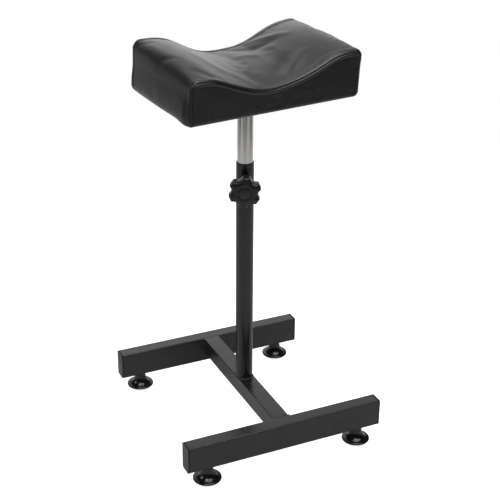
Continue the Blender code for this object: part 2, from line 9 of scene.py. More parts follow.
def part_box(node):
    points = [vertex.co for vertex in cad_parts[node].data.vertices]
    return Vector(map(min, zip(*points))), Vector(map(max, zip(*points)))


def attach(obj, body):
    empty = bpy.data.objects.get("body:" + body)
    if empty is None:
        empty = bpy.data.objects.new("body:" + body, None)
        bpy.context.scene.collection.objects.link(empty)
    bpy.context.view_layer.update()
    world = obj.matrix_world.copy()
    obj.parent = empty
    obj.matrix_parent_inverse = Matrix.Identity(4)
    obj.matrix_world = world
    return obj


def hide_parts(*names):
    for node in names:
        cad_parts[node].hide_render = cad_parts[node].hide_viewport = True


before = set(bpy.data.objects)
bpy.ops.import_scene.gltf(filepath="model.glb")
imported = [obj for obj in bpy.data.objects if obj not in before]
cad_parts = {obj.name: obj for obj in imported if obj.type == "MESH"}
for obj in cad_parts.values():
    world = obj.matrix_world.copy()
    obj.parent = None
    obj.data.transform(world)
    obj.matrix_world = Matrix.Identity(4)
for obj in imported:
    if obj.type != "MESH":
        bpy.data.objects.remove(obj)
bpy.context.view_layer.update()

corners = {"front_left": (-1, -1), "front_right": (1, -1), "rear_left": (-1, 1), "rear_right": (1, 1)}
quarterTurn = math.pi / 2


# Nodes

def addNode(tree, kind, feeds=None, **settings):
    made = tree.nodes.new(kind)
    for key, value in settings.items():
        setattr(made, key, value)
    for socket, value in (feeds or {}).items():
        if isinstance(value, bpy.types.NodeSocket):
            tree.links.new(value, made.inputs[socket])
        else:
            made.inputs[socket].default_value = value
    return made


def put(tree, kind, feeds=None, **settings):
    return addNode(tree, kind, feeds, **settings).outputs[0]


def calc(tree, operation, *values, clamp=False):
    return put(tree, "ShaderNodeMath", dict(enumerate(values)), operation=operation, use_clamp=clamp)


def inverse(tree, value):
    return calc(tree, "DIVIDE", 1.0, value)


def remap(tree, value, low, high):
    feeds = {"Value": value, "From Min": low, "From Max": high}
    return put(tree, "ShaderNodeMapRange", feeds, interpolation_type="SMOOTHSTEP")


def newGroup(name, kind, inputs, outputs):
    # inputs and outputs give each label's value, or the socket's type where it isn't a number
    tree = bpy.data.node_groups.new(name, kind)
    for side, sockets in (("INPUT", inputs), ("OUTPUT", outputs)):
        for label, value in sockets.items():
            typeName = value if isinstance(value, str) else "Float"
            made = tree.interface.new_socket(label, in_out=side, socket_type="NodeSocket" + typeName)
            if typeName == "Float":
                made.default_value = value
    return tree, tree.nodes.new("NodeGroupInput").outputs, tree.nodes.new("NodeGroupOutput").inputs


def effectGroup(name, inputs, *outputs):
    return newGroup(name, "ShaderNodeTree", inputs, dict.fromkeys(outputs, 0.0))


def ended(tree, result, **values):
    for label, value in values.items():
        tree.links.new(value, result[label])
    return tree


def noise(tree, coords, scale, detail=2.0, roughness=0.5, distortion=0.0):
    feeds = {"Vector": coords, "Scale": scale, "Detail": detail, "Roughness": roughness}
    return addNode(tree, "ShaderNodeTexNoise", {**feeds, "Distortion": distortion}).outputs["Fac"]


def objectCoords(tree, **stretch):
    # Object coordinates, stretched along the axes that are named
    coords = addNode(tree, "ShaderNodeTexCoord").outputs["Object"]
    if not stretch:
        return coords
    scale = put(tree, "ShaderNodeCombineXYZ", {"X": 1.0, "Y": 1.0, "Z": 1.0, **stretch})
    return put(tree, "ShaderNodeVectorMath", {0: coords, 1: scale}, operation="MULTIPLY")


# Effects that several finishes share

def makeFineTexture():
    # Orange peel of powder paint or spark-eroded moulds, with slow blotches
    sizes = {"Grain size": 0.0006, "Blotch size": 0.05}
    tree, given, result = effectGroup("fineTexture", sizes, "Height", "Blotch")
    coords = objectCoords(tree)
    fine = noise(tree, coords, inverse(tree, given["Grain size"]), 3.0, 0.6)
    slow = noise(tree, coords, inverse(tree, given["Blotch size"]), 3.0, 0.55)
    return ended(tree, result, Height=fine, Blotch=remap(tree, slow, 0.3, 0.7))


def makeEdgeWear():
    # Rubbed edges, broken up by noise
    tree, given, result = effectGroup("edgeWear", {"Reach": 0.06, "Patch size": 0.01}, "Mask")
    flat = 0.505
    sharp = addNode(tree, "ShaderNodeNewGeometry").outputs["Pointiness"]
    edge = remap(tree, sharp, flat, calc(tree, "ADD", flat, given["Reach"]))
    cloud = noise(tree, objectCoords(tree), inverse(tree, given["Patch size"]), 4.0, 0.65)
    return ended(tree, result, Mask=calc(tree, "MULTIPLY", edge, remap(tree, cloud, 0.42, 0.62)))


def makeSettledDust():
    # A thin film where a surface looks up
    tree, given, result = effectGroup("settledDust", {"Amount": 0.1, "Speck size": 0.004}, "Mask")
    normal = addNode(tree, "ShaderNodeNewGeometry").outputs["Normal"]
    upward = addNode(tree, "ShaderNodeSeparateXYZ", {0: normal}).outputs["Z"]
    cloud = noise(tree, objectCoords(tree), inverse(tree, given["Speck size"]), 5.0, 0.7)
    film = calc(tree, "MULTIPLY", remap(tree, upward, 0.3, 1.0), remap(tree, cloud, 0.35, 0.75))
    return ended(tree, result, Mask=calc(tree, "MULTIPLY", film, given["Amount"]))


def makeHideGrain():
    # Embossed leather grain: small cells, pores, pebbles and slow folds
    sizes = {"Cell size": 0.0011, "Fold size": 0.012}
    tree, given, result = effectGroup("hideGrain", sizes, "Height", "Blotch")
    coords = objectCoords(tree)
    feeds = {"Vector": coords, "Scale": 420.0, "Detail": 2.0}
    bend = addNode(tree, "ShaderNodeTexNoise", feeds).outputs["Color"]
    shift = put(tree, "ShaderNodeVectorMath", {0: bend, 1: (0.5, 0.5, 0.5)}, operation="SUBTRACT")
    shift = put(tree, "ShaderNodeVectorMath", {0: shift, "Scale": 0.0009}, operation="SCALE")
    bent = put(tree, "ShaderNodeVectorMath", {0: coords, 1: shift}, operation="ADD")
    feeds = {"Vector": bent, "Scale": inverse(tree, given["Cell size"])}
    cells = addNode(tree, "ShaderNodeTexVoronoi", feeds, feature="DISTANCE_TO_EDGE").outputs["Distance"]
    slow = noise(tree, coords, inverse(tree, given["Fold size"]), 4.0, 0.6, 0.3)
    layers = ((remap(tree, cells, 0.0, 0.22), 0.75), (noise(tree, coords, 3200.0, 2.0, 0.6), 0.25),
              (noise(tree, coords, 330.0, 2.0, 0.5), 2.2), (slow, 1.2))
    height = 0.0
    for layer, share in layers:
        height = calc(tree, "ADD", height, calc(tree, "MULTIPLY", layer, share))
    return ended(tree, result, Height=height, Blotch=slow)


def makeDrawnLines():
    # Fine lines left by drawing or polishing along one axis
    tree, given, result = effectGroup("drawnLines", {"Line width": 0.0004, "Stretch": 0.02}, "Height", "Band")
    along = objectCoords(tree, Z=given["Stretch"])
    lines = noise(tree, along, inverse(tree, given["Line width"]), 3.0, 0.7)
    bands = noise(tree, along, 260.0, 2.0, 0.5)
    return ended(tree, result, Height=lines, Band=remap(tree, bands, 0.3, 0.7))


def makeFibreMat():
    # Bonded fibres of the dust cloth, or the grain of sawn wood when stretched
    tree, given, result = effectGroup("fibreMat", {"Fibre size": 0.0005, "Stretch": 1.0}, "Height", "Streak")
    along = objectCoords(tree, X=given["Stretch"])
    scale = inverse(tree, given["Fibre size"])
    streak = noise(tree, along, calc(tree, "MULTIPLY", scale, 0.12), 3.0, 0.6, 0.6)
    return ended(tree, result, Height=noise(tree, along, scale, 6.0, 0.75, 1.5), Streak=streak)


fineTexture, edgeWear, settledDust = makeFineTexture(), makeEdgeWear(), makeSettledDust()
hideGrain, drawnLines, fibreMat = makeHideGrain(), makeDrawnLines(), makeFibreMat()

# Finishes. Colours are linear, lengths in metres, and sizes are the effect's inputs in their order.
# variation is how far the colour strays from its middle, and spread how far the roughness does.
usual = {"effect": fineTexture, "metallic": 0.0, "shine": 0.5, "wear": None, "wearReach": 0.25, "dust": 0.0}
finishes = {
    "powderBlack": {"colour": (0.0125, 0.0125, 0.013), "roughness": 0.29, "sizes": (0.0007, 0.06),
                    "relief": 0.00003, "variation": 0.08, "spread": 0.04, "wear": (0.05, 0.05, 0.05),
                    "dust": 0.012},
    "powderPost": {"colour": (0.0105, 0.0105, 0.011), "roughness": 0.22, "sizes": (0.0009, 0.06),
                   "relief": 0.000015, "variation": 0.08, "spread": 0.03, "wear": (0.04, 0.04, 0.04),
                   "dust": 0.008},
    "capPlastic": {"colour": (0.014, 0.014, 0.0145), "roughness": 0.42, "sizes": (0.0004, 0.02),
                   "relief": 0.00002, "variation": 0.1, "spread": 0.05, "wear": (0.05, 0.05, 0.05),
                   "dust": 0.012},
    "footPlastic": {"colour": (0.006, 0.006, 0.0065), "roughness": 0.15, "sizes": (0.003, 0.01),
                    "relief": 0.000008, "variation": 0.2, "spread": 0.04, "wear": (0.03, 0.03, 0.03),
                    "wearReach": 0.2, "dust": 0.01},
    "knobPlastic": {"colour": (0.008, 0.008, 0.0085), "roughness": 0.36, "sizes": (0.0005, 0.01),
                    "relief": 0.00002, "variation": 0.15, "spread": 0.05, "wear": (0.05, 0.05, 0.05),
                    "wearReach": 0.2, "dust": 0.01},
    "knobCapPlastic": {"colour": (0.009, 0.009, 0.0095), "roughness": 0.24, "sizes": (0.002, 0.008),
                       "relief": 0.00001, "variation": 0.1, "spread": 0.04, "wear": (0.04, 0.04, 0.04),
                       "wearReach": 0.12, "dust": 0.03},
    "chromedTube": {"colour": (0.66, 0.65, 0.63), "roughness": 0.18, "metallic": 1.0, "effect": drawnLines,
                    "sizes": (0.0005, 0.015), "relief": 0.000004, "variation": 0.08, "spread": 0.08},
    "zincSteel": {"colour": (0.50, 0.50, 0.48), "roughness": 0.34, "metallic": 1.0, "sizes": (0.0009, 0.004),
                  "relief": 0.00001, "variation": 0.15, "spread": 0.12, "wear": (0.62, 0.62, 0.60),
                  "wearReach": 0.1},
    "blackHide": {"colour": (0.0045, 0.0045, 0.0048), "roughness": 0.33, "shine": 0.62, "effect": hideGrain,
                  "sizes": (0.0011, 0.014), "relief": 0.00006, "variation": 0.25, "spread": 0.07,
                  "wear": (0.014, 0.014, 0.014), "wearReach": 0.3, "dust": 0.004},
    "blackThread": {"colour": (0.055, 0.055, 0.055), "roughness": 0.35, "effect": fibreMat,
                    "sizes": (0.0002, 1.0), "relief": 0.00004, "variation": 0.3, "spread": 0.1},
    "padFoam": {"colour": (0.62, 0.55, 0.33), "roughness": 0.95, "sizes": (0.0008, 0.03), "relief": 0.0003,
                "variation": 0.12, "spread": 0.03},
    "plywood": {"colour": (0.42, 0.28, 0.15), "roughness": 0.7, "effect": fibreMat, "sizes": (0.0006, 0.06),
                "relief": 0.00008, "variation": 0.3, "spread": 0.1},
    "dustCloth": {"colour": (0.014, 0.014, 0.014), "roughness": 0.88, "effect": fibreMat,
                  "sizes": (0.0007, 1.0), "relief": 0.00018, "variation": 0.45, "spread": 0.05},
    "stapleSteel": {"colour": (0.58, 0.57, 0.55), "roughness": 0.3, "metallic": 1.0, "sizes": (0.0008, 0.01),
                    "relief": 0.000006, "variation": 0.12, "spread": 0.1},
}
dustTone = (0.16, 0.155, 0.15, 1)
dustRoughness = 0.6
madeFinishes = {}


def mixed(tree, share, under, over):
    return addNode(tree, "ShaderNodeMix", {0: share, 6: under, 7: over}, data_type="RGBA").outputs[2]


def finish(name):
    if name in madeFinishes:
        return madeFinishes[name]
    spec = {**usual, **finishes[name]}
    made = bpy.data.materials.new(name)
    made.use_nodes = True
    tree = made.node_tree
    shader = tree.nodes["Principled BSDF"]
    shader.inputs["Metallic"].default_value = spec["metallic"]
    shader.inputs["Specular IOR Level"].default_value = spec["shine"]
    effect = addNode(tree, "ShaderNodeGroup", node_tree=spec["effect"])
    for socket, value in zip(effect.inputs, spec["sizes"]):
        socket.default_value = value
    blotch = effect.outputs[-1]
    tones = [tuple(c * (1 + side * spec["variation"]) for c in spec["colour"]) + (1,) for side in (-1, 1)]
    shown = mixed(tree, blotch, *tones)
    stray = calc(tree, "MULTIPLY", calc(tree, "SUBTRACT", blotch, 0.5), 2 * spec["spread"])
    rough = calc(tree, "ADD", stray, spec["roughness"])
    if spec["wear"]:
        worn = put(tree, "ShaderNodeGroup", {"Reach": spec["wearReach"]}, node_tree=edgeWear)
        shown = mixed(tree, worn, shown, (*spec["wear"], 1))
    if spec["dust"]:
        film = put(tree, "ShaderNodeGroup", {"Amount": spec["dust"]}, node_tree=settledDust)
        shown = mixed(tree, film, shown, dustTone)
        rough = calc(tree, "ADD", rough, calc(tree, "MULTIPLY", film, dustRoughness))
    tree.links.new(shown, shader.inputs["Base Color"])
    tree.links.new(rough, shader.inputs["Roughness"])
    bump = {"Strength": 1.0, "Distance": spec["relief"], "Height": effect.outputs["Height"]}
    tree.links.new(put(tree, "ShaderNodeBump", bump), shader.inputs["Normal"])
    madeFinishes[name] = made
    return made


def dress(node, finishName):
    # Gives a solid that is shown as it is its finish
    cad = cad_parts[node]
    cad.data.materials.clear()
    cad.data.materials.append(finish(finishName))


# Meshes

def addObject(name, data):
    made = bpy.data.objects.new(name, data)
    bpy.context.scene.collection.objects.link(made)
    return made


def faceOutward(mesh, merge=False, close=False):
    # Turns the faces outward, once doubled points are merged or open edges closed
    bm = bmesh.new()
    bm.from_mesh(mesh)
    if merge:
        bmesh.ops.remove_doubles(bm, verts=bm.verts, dist=1e-7)
    if close:
        bmesh.ops.contextual_create(bm, geom=[edge for edge in bm.edges if edge.is_boundary])
    bmesh.ops.recalc_face_normals(bm, faces=bm.faces)
    bm.to_mesh(mesh)
    bm.free()


def smoothMesh(mesh, smoothTo):
    mesh.shade_smooth()
    mesh.set_sharp_from_angle(angle=math.radians(smoothTo))


def newPiece(name, points, faces, finishName, smoothTo=35, outward=True):
    mesh = bpy.data.meshes.new(name)
    mesh.from_pydata([tuple(p) for p in points], [], faces)
    if outward:
        faceOutward(mesh, merge=True)
    mesh.materials.append(finish(finishName))
    smoothMesh(mesh, smoothTo)
    return addObject(name, mesh)


def evenNormals(piece):
    # Keeps flat faces flat beside their rounded edges
    weighted = piece.modifiers.new("evenNormals", "WEIGHTED_NORMAL")
    weighted.keep_sharp = True
    weighted.weight = 100
    return piece


def settle(piece, body, slot, *nodes):
    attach(piece, body)
    if nodes:
        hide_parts(*nodes)
    return piece


def loft(loops, ring=False, ends=True):
    # Points and faces that join loops of equally many points; a loop of one point is a pole
    points, starts = [], []
    for loop in loops:
        starts.append(len(points))
        points.extend(loop)
    faces = []
    pairs = list(zip(range(len(loops)), range(1, len(loops))))
    if ring:
        pairs.append((len(loops) - 1, 0))
    for low, high in pairs:
        a, b = starts[low], starts[high]
        count = max(len(loops[low]), len(loops[high]))
        for i in range(count):
            j = (i + 1) % count
            if len(loops[low]) == 1:
                faces.append((a, b + j, b + i))
            elif len(loops[high]) == 1:
                faces.append((a + i, a + j, b))
            else:
                faces.append((a + i, a + j, b + j, b + i))
    if ends and not ring:
        if len(loops[0]) > 1:
            faces.append(tuple(reversed(range(starts[0], starts[0] + len(loops[0])))))
        if len(loops[-1]) > 1:
            faces.append(tuple(range(starts[-1], starts[-1] + len(loops[-1]))))
    return points, faces


def filleted(profile, steps=4, ring=True):
    # Rounds the corners of a profile given as (distance, height, radius)
    result = []
    count = len(profile)
    for i, (x, y, radius) in enumerate(profile):
        if radius <= 0 or (not ring and i in (0, count - 1)):
            result.append((x, y))
            continue
        here = Vector((x, y))
        before = Vector(profile[i - 1][:2]) - here
        after = Vector(profile[(i + 1) % count][:2]) - here
        half = before.angle(after) / 2
        reach = min(radius / math.tan(half), 0.49 * before.length, 0.49 * after.length)
        radius = reach * math.tan(half)
        middle = here + (before.normalized() + after.normalized()).normalized() * radius / math.sin(half)
        start, end = here + before.normalized() * reach - middle, here + after.normalized() * reach - middle
        sweep = start.angle_signed(end)
        for step in range(steps + 1):
            turn = -sweep * step / steps
            c, s = math.cos(turn), math.sin(turn)
            result.append((middle.x + c * start.x - s * start.y, middle.y + s * start.x + c * start.y))
    return result


def turned(profile, sides, ring=False):
    loops = []
    for radius, height in profile:
        if radius <= 0:
            loops.append([Vector((0, 0, height))])
        else:
            angles = (2 * math.pi * i / sides for i in range(sides))
            loops.append([Vector((radius * math.cos(a), radius * math.sin(a), height)) for a in angles])
    return loft(loops, ring, ends=False)


def moved(points, matrix):
    return [matrix @ Vector(p) for p in points]


def roundedRectangle(width, depth, radius, steps, support=0.0):
    # support adds a point on the flats at that distance from each rounded corner
    loop = []
    for quarter, (sideX, sideY) in enumerate(((1, 1), (-1, 1), (-1, -1), (1, -1))):
        corner = []
        for step in range(steps + 1):
            angle = quarterTurn * (quarter + step / steps)
            corner.append((sideX * (width / 2 - radius) + radius * math.cos(angle),
                           sideY * (depth / 2 - radius) + radius * math.sin(angle)))
        if support:
            start = quarterTurn * quarter
            arcEnds = ((corner[0], -1, start), (corner[-1], 1, start + quarterTurn))
            for share in (1, 2, 3.5):
                for (x, y), side, angle in arcEnds:
                    step = side * support * share
                    beside = (x - step * math.sin(angle), y + step * math.cos(angle))
                    corner.insert(0 if side < 0 else len(corner), beside)
        loop += corner
    return loop


def middleOf(node):
    low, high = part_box(node)
    return (low + high) / 2, high - low


# Geometry Nodes

def growOn(piece, tree, **values):
    # Runs a tree on a piece, with its inputs set by their identifiers, and keeps the result as a plain mesh
    grower = piece.modifiers.new(tree.name, "NODES")
    grower.node_group = tree
    for item in tree.interface.items_tree:
        if item.item_type == "SOCKET" and item.in_out == "INPUT" and item.name.replace(" ", "") in values:
            grower[item.identifier] = values[item.name.replace(" ", "")]
    view = bpy.context.evaluated_depsgraph_get()
    mesh = bpy.data.meshes.new_from_object(piece.evaluated_get(view), depsgraph=view)
    piece.modifiers.remove(grower)
    piece.data = mesh
    mesh.name = piece.name
    return piece


def pathPiece(name, paths, closed=False):
    # Edges only, one chain of points for each path, as the way that a tree follows
    points, edges = [], []
    for path in paths:
        first = len(points)
        points.extend(tuple(p) for p in path)
        edges.extend((first + i, first + i + 1) for i in range(len(path) - 1))
        if closed:
            edges.append((first + len(path) - 1, first))
    mesh = bpy.data.meshes.new(name)
    mesh.from_pydata(points, edges, [])
    return addObject(name, mesh)


def geometryTree(name, source, inputs, made):
    sockets = {source: "Geometry", **inputs, "Finish": "Material"}
    return newGroup(name, "GeometryNodeTree", sockets, {made: "Geometry"})


def endTree(tree, given, result, geometry, smooth=False):
    real = put(tree, "GeometryNodeRealizeInstances", {0: geometry})
    if smooth:
        real = put(tree, "GeometryNodeSetShadeSmooth", {0: real})
    painted = put(tree, "GeometryNodeSetMaterial", {"Geometry": real, "Material": given["Finish"]})
    tree.links.new(painted, result[0])
    return tree


def alongPath(tree, given, step):
    # Points along the given path, and the turn that follows it
    curve = put(tree, "GeometryNodeMeshToCurve", {0: given["Path"]})
    steps = put(tree, "GeometryNodeResampleCurve", {"Curve": curve, "Length": given[step]}, mode="LENGTH")
    tangent = put(tree, "GeometryNodeInputTangent")
    return steps, put(tree, "FunctionNodeAlignRotationToVector", {"Vector": tangent}, axis="X")


def slanted(tree, turn, angle):
    by = put(tree, "ShaderNodeCombineXYZ", {"Z": angle})
    return put(tree, "FunctionNodeRotateRotation", {0: turn, 1: by}, rotation_space="LOCAL")


def randomBetween(tree, low, high, seed):
    feeds = {2: low, 3: high, "Seed": seed}
    return addNode(tree, "FunctionNodeRandomValue", feeds, data_type="FLOAT").outputs[1]


def repeated(tree, steps, shape, turn, length, width):
    size = put(tree, "ShaderNodeCombineXYZ", {"X": length, "Y": width, "Z": width})
    feeds = {"Points": steps, "Instance": shape, "Rotation": turn, "Scale": size}
    return put(tree, "GeometryNodeInstanceOnPoints", feeds)


def makeWeldTree():
    # Overlapping ripples of weld metal along a path
    tree, given, result = geometryTree("weldBead", "Path", {"Spacing": 0.001, "Width": 0.004}, "Bead")
    steps, turn = alongPath(tree, given, "Spacing")
    drop = put(tree, "GeometryNodeMeshUVSphere", {"Segments": 12, "Rings": 7, "Radius": 0.5})
    wide = calc(tree, "MULTIPLY", given["Width"], randomBetween(tree, 0.88, 1.12, 7))
    drops = repeated(tree, steps, drop, turn, calc(tree, "MULTIPLY", given["Spacing"], 2.4), wide)
    return endTree(tree, given, result, drops, smooth=True)


def makeThreadTree():
    # A rod along Z with a screw thread wound round it
    inputs = {"Radius": 0.004, "Pitch": 0.00125, "Turns": 10.0, "Start": 0.0, "Depth": 0.0006}
    tree, given, result = geometryTree("screwThread", "Blank", inputs, "Screw")
    ridgeAt = calc(tree, "SUBTRACT", given["Radius"], given["Depth"])
    feeds = {"Resolution": 26, "Rotations": given["Turns"], "Start Radius": ridgeAt, "End Radius": ridgeAt,
             "Height": calc(tree, "MULTIPLY", given["Pitch"], given["Turns"])}
    helix = put(tree, "GeometryNodeCurveSpiral", feeds)
    helix = put(tree, "GeometryNodeSetCurveNormal", {"Curve": helix}, mode="Z_UP")
    feeds = {"Resolution": 3, "Radius": given["Depth"]}
    section = put(tree, "GeometryNodeCurvePrimitiveCircle", feeds, mode="RADIUS")
    feeds = {"Curve": helix, "Profile Curve": section, "Fill Caps": True}
    ridge = put(tree, "GeometryNodeCurveToMesh", feeds)
    place = put(tree, "ShaderNodeCombineXYZ", {"Z": given["Start"]})
    ridge = put(tree, "GeometryNodeTransform", {"Geometry": ridge, "Translation": place})
    both = addNode(tree, "GeometryNodeJoinGeometry")
    tree.links.new(given["Blank"], both.inputs[0])
    tree.links.new(ridge, both.inputs[0])
    return endTree(tree, given, result, both.outputs[0])


def makeLobeTree():
    # Cuts round scallops into a turned blank about Z, so that lobes are left between them
    inputs = {"Lobes": 6.0, "Diameter": 0.054, "Scallop radius": 0.01, "Scallop depth": 0.005,
              "Plain radius": 0.013, "Turn": 0.0, "Blend": 0.0012}
    tree, given, result = geometryTree("knobLobes", "Blank", inputs, "Knob")
    place = put(tree, "GeometryNodeInputPosition")
    parts = addNode(tree, "ShaderNodeSeparateXYZ", {0: place}).outputs
    x, y = parts["X"], parts["Y"]
    squared = calc(tree, "ADD", calc(tree, "MULTIPLY", x, x), calc(tree, "MULTIPLY", y, y))
    distance = calc(tree, "SQRT", squared)
    pitch = calc(tree, "DIVIDE", 2 * math.pi, given["Lobes"])
    angle = calc(tree, "SUBTRACT", calc(tree, "ARCTAN2", y, x), given["Turn"])
    off = calc(tree, "SUBTRACT", calc(tree, "WRAP", angle, pitch, 0.0), calc(tree, "MULTIPLY", pitch, 0.5))
    rim = calc(tree, "MULTIPLY", given["Diameter"], 0.5)
    # The cutter's centre, and its radius, which grows towards the middle
    centre = calc(tree, "ADD", calc(tree, "SUBTRACT", rim, given["Scallop depth"]), given["Scallop radius"])
    cutter = calc(tree, "ADD", given["Scallop radius"], calc(tree, "SUBTRACT", rim, distance))
    across = calc(tree, "MULTIPLY", centre, calc(tree, "SINE", off))
    cutterSquare = calc(tree, "MULTIPLY", cutter, cutter)
    chord = calc(tree, "SUBTRACT", cutterSquare, calc(tree, "MULTIPLY", across, across))
    chord = calc(tree, "SQRT", calc(tree, "MAXIMUM", chord, 0.0))
    limit = calc(tree, "SUBTRACT", calc(tree, "MULTIPLY", centre, calc(tree, "COSINE", off)), chord)
    reached = calc(tree, "SMOOTH_MIN", distance, limit, given["Blend"])
    share = remap(tree, distance, given["Plain radius"], calc(tree, "SUBTRACT", rim, 0.004))
    cut = calc(tree, "MULTIPLY", calc(tree, "SUBTRACT", reached, distance), share)
    ratio = calc(tree, "DIVIDE", calc(tree, "ADD", distance, cut), calc(tree, "MAXIMUM", distance, 1e-6))
    feeds = {"X": calc(tree, "MULTIPLY", x, ratio), "Y": calc(tree, "MULTIPLY", y, ratio), "Z": parts["Z"]}
    placed = put(tree, "ShaderNodeCombineXYZ", feeds)
    shaped = put(tree, "GeometryNodeSetPosition", {"Geometry": given["Blank"], "Position": placed})
    return endTree(tree, given, result, shaped)


def makeStitchTree():
    # Short slanted threads along a path, each dipping into the cover at both ends
    inputs = {"Pitch": 0.004, "Length": 0.0028, "Thickness": 0.0007, "Slant": 0.12}
    tree, given, result = geometryTree("stitchRow", "Path", inputs, "Stitches")
    steps, turn = alongPath(tree, given, "Pitch")
    bead = put(tree, "GeometryNodeMeshUVSphere", {"Segments": 8, "Rings": 6, "Radius": 0.5})
    turn = slanted(tree, turn, given["Slant"])
    threads = repeated(tree, steps, bead, turn, given["Length"], given["Thickness"])
    return endTree(tree, given, result, threads, smooth=True)


def makeStapleTree():
    # Wire staples along a path, each at its own small angle
    inputs = {"Pitch": 0.022, "Width": 0.01, "Wire": 0.0009}
    tree, given, result = geometryTree("stapleRow", "Path", inputs, "Staples")
    steps, turn = alongPath(tree, given, "Pitch")
    turn = slanted(tree, turn, randomBetween(tree, -0.22, 0.22, 3))
    crown = put(tree, "GeometryNodeCurvePrimitiveLine", {"Start": (-0.5, 0, 0), "End": (0.5, 0, 0)})
    section = put(tree, "GeometryNodeCurvePrimitiveCircle", {"Resolution": 8, "Radius": 0.5}, mode="RADIUS")
    wire = put(tree, "GeometryNodeCurveToMesh", {"Curve": crown, "Profile Curve": section, "Fill Caps": True})
    return endTree(tree, given, result, repeated(tree, steps, wire, turn, given["Width"], given["Wire"]))


weldBead, screwThread, knobLobes = makeWeldTree(), makeThreadTree(), makeLobeTree()
stitchRow, stapleRow = makeStitchTree(), makeStapleTree()
print("finishes and trees ready")


# Camera and studio

viewpoint = {"place": (-0.737, -1.6054, 1.14473), "yaw": 0.43555, "pitch": 0.43679, "roll": 0.00748,
             "lens": 82.7476}


def placeCamera():
    yaw, pitch, roll = viewpoint["yaw"], viewpoint["pitch"], viewpoint["roll"]
    ahead = Vector((math.sin(yaw) * math.cos(pitch), math.cos(yaw) * math.cos(pitch), -math.sin(pitch)))
    right = Vector((math.cos(yaw), -math.sin(yaw), 0))
    up = Vector((math.sin(yaw) * math.sin(pitch), math.cos(yaw) * math.sin(pitch), math.cos(pitch)))
    across = right * math.cos(roll) + up * math.sin(roll)
    above = -right * math.sin(roll) + up * math.cos(roll)
    data = bpy.data.cameras.new("photoCamera")
    data.lens, data.sensor_width = viewpoint["lens"], 36.0
    data.clip_start, data.clip_end = 0.05, 50.0
    camera = addObject("photoCamera", data)
    columns = Matrix((across, above, -ahead)).transposed().to_4x4()
    camera.matrix_world = Matrix.Translation(viewpoint["place"]) @ columns
    bpy.context.scene.camera = camera


# The floor lies just under the lowest reach of the feet, so that no pose sinks into it.
# A panel is its direction in degrees from +Y towards +X, the fade to its sides, the heights that it
# reaches from and to, and its strength.
studio = {
    "backdrop": 1.0, "ambient": 0.01, "below": 0.19,
    "floorGlow": 0.95, "floorTone": 0.62, "floorHalf": 1.40, "floorTurn": -28, "floorDrop": 0.0105,
    "panels": {
        "frontLeft": (-155, 28, 42, 66, 8.4), "frontRight": (157, 30, 42, 66, 6.4),
        "backHigh": (25, 45, 42, 66, 0.67), "back": (25, 45, -30, 18, 1.2),
        "backLeft": (2, 34, 20, 42, 1.05), "backLeftLow": (-20, 45, -30, 18, 0.3),
        "right": (70, 45, -30, 18, 0.12), "left": (-84, 18, 16, 36, 5.0),
    },
    "panelEdge": 14,
    "lights": {
        "topBox": {"place": (0.0, 0.084, 2.799), "size": (1.8, 1.8), "power": 36.0},
        "backBox": {"place": (1.019, 2.185, 1.374), "size": (1.6, 0.8), "power": 3.1},
    },
    "lightsAim": (0, 0, 0.4),
}


def panelLight(tree):
    # The sum of the soft panels in each direction
    direction = addNode(tree, "ShaderNodeTexCoord").outputs["Generated"]
    across, ahead, up = addNode(tree, "ShaderNodeSeparateXYZ", {0: direction}).outputs
    turn, height = calc(tree, "ARCTAN2", across, ahead), calc(tree, "ARCSINE", up)
    edge = math.radians(studio["panelEdge"])
    total = calc(tree, "MULTIPLY", calc(tree, "DIVIDE", height, -edge, clamp=True), studio["below"])
    total = calc(tree, "ADD", total, studio["ambient"])
    for at, fade, low, high, strength in studio["panels"].values():
        off = calc(tree, "WRAP", calc(tree, "SUBTRACT", turn, math.radians(at)), math.pi, -math.pi)
        off = calc(tree, "DIVIDE", calc(tree, "ABSOLUTE", off), math.radians(fade))
        beside = calc(tree, "SUBTRACT", 1.0, off, clamp=True)
        rise = calc(tree, "SUBTRACT", height, math.radians(low) - edge / 2)
        rise = calc(tree, "DIVIDE", rise, edge, clamp=True)
        fall = calc(tree, "SUBTRACT", math.radians(high) + edge / 2, height)
        fall = calc(tree, "DIVIDE", fall, edge, clamp=True)
        part = calc(tree, "MULTIPLY", beside, strength)
        part = calc(tree, "MULTIPLY", part, calc(tree, "MULTIPLY", rise, fall))
        total = calc(tree, "ADD", part, total)
    return total


def floorPaper():
    # White to the camera, except from below, where it shows the underside
    paper = bpy.data.materials.new("floorPaper")
    paper.use_nodes = True
    tree = paper.node_tree
    shader = tree.nodes["Principled BSDF"]
    shader.inputs["Roughness"].default_value = 0.9
    shader.inputs["Base Color"].default_value = (studio["floorTone"],) * 3 + (1,)
    shader.inputs["Emission Color"].default_value = (1, 1, 1, 1)
    seen = addNode(tree, "ShaderNodeLightPath").outputs["Is Camera Ray"]
    tree.links.new(calc(tree, "MULTIPLY", seen, studio["floorGlow"]), shader.inputs["Emission Strength"])
    below = calc(tree, "MULTIPLY", seen, addNode(tree, "ShaderNodeNewGeometry").outputs["Backfacing"])
    clear = put(tree, "ShaderNodeBsdfTransparent")
    either = put(tree, "ShaderNodeMixShader", {0: below, 1: shader.outputs[0], 2: clear})
    tree.links.new(either, tree.nodes["Material Output"].inputs["Surface"])
    return paper


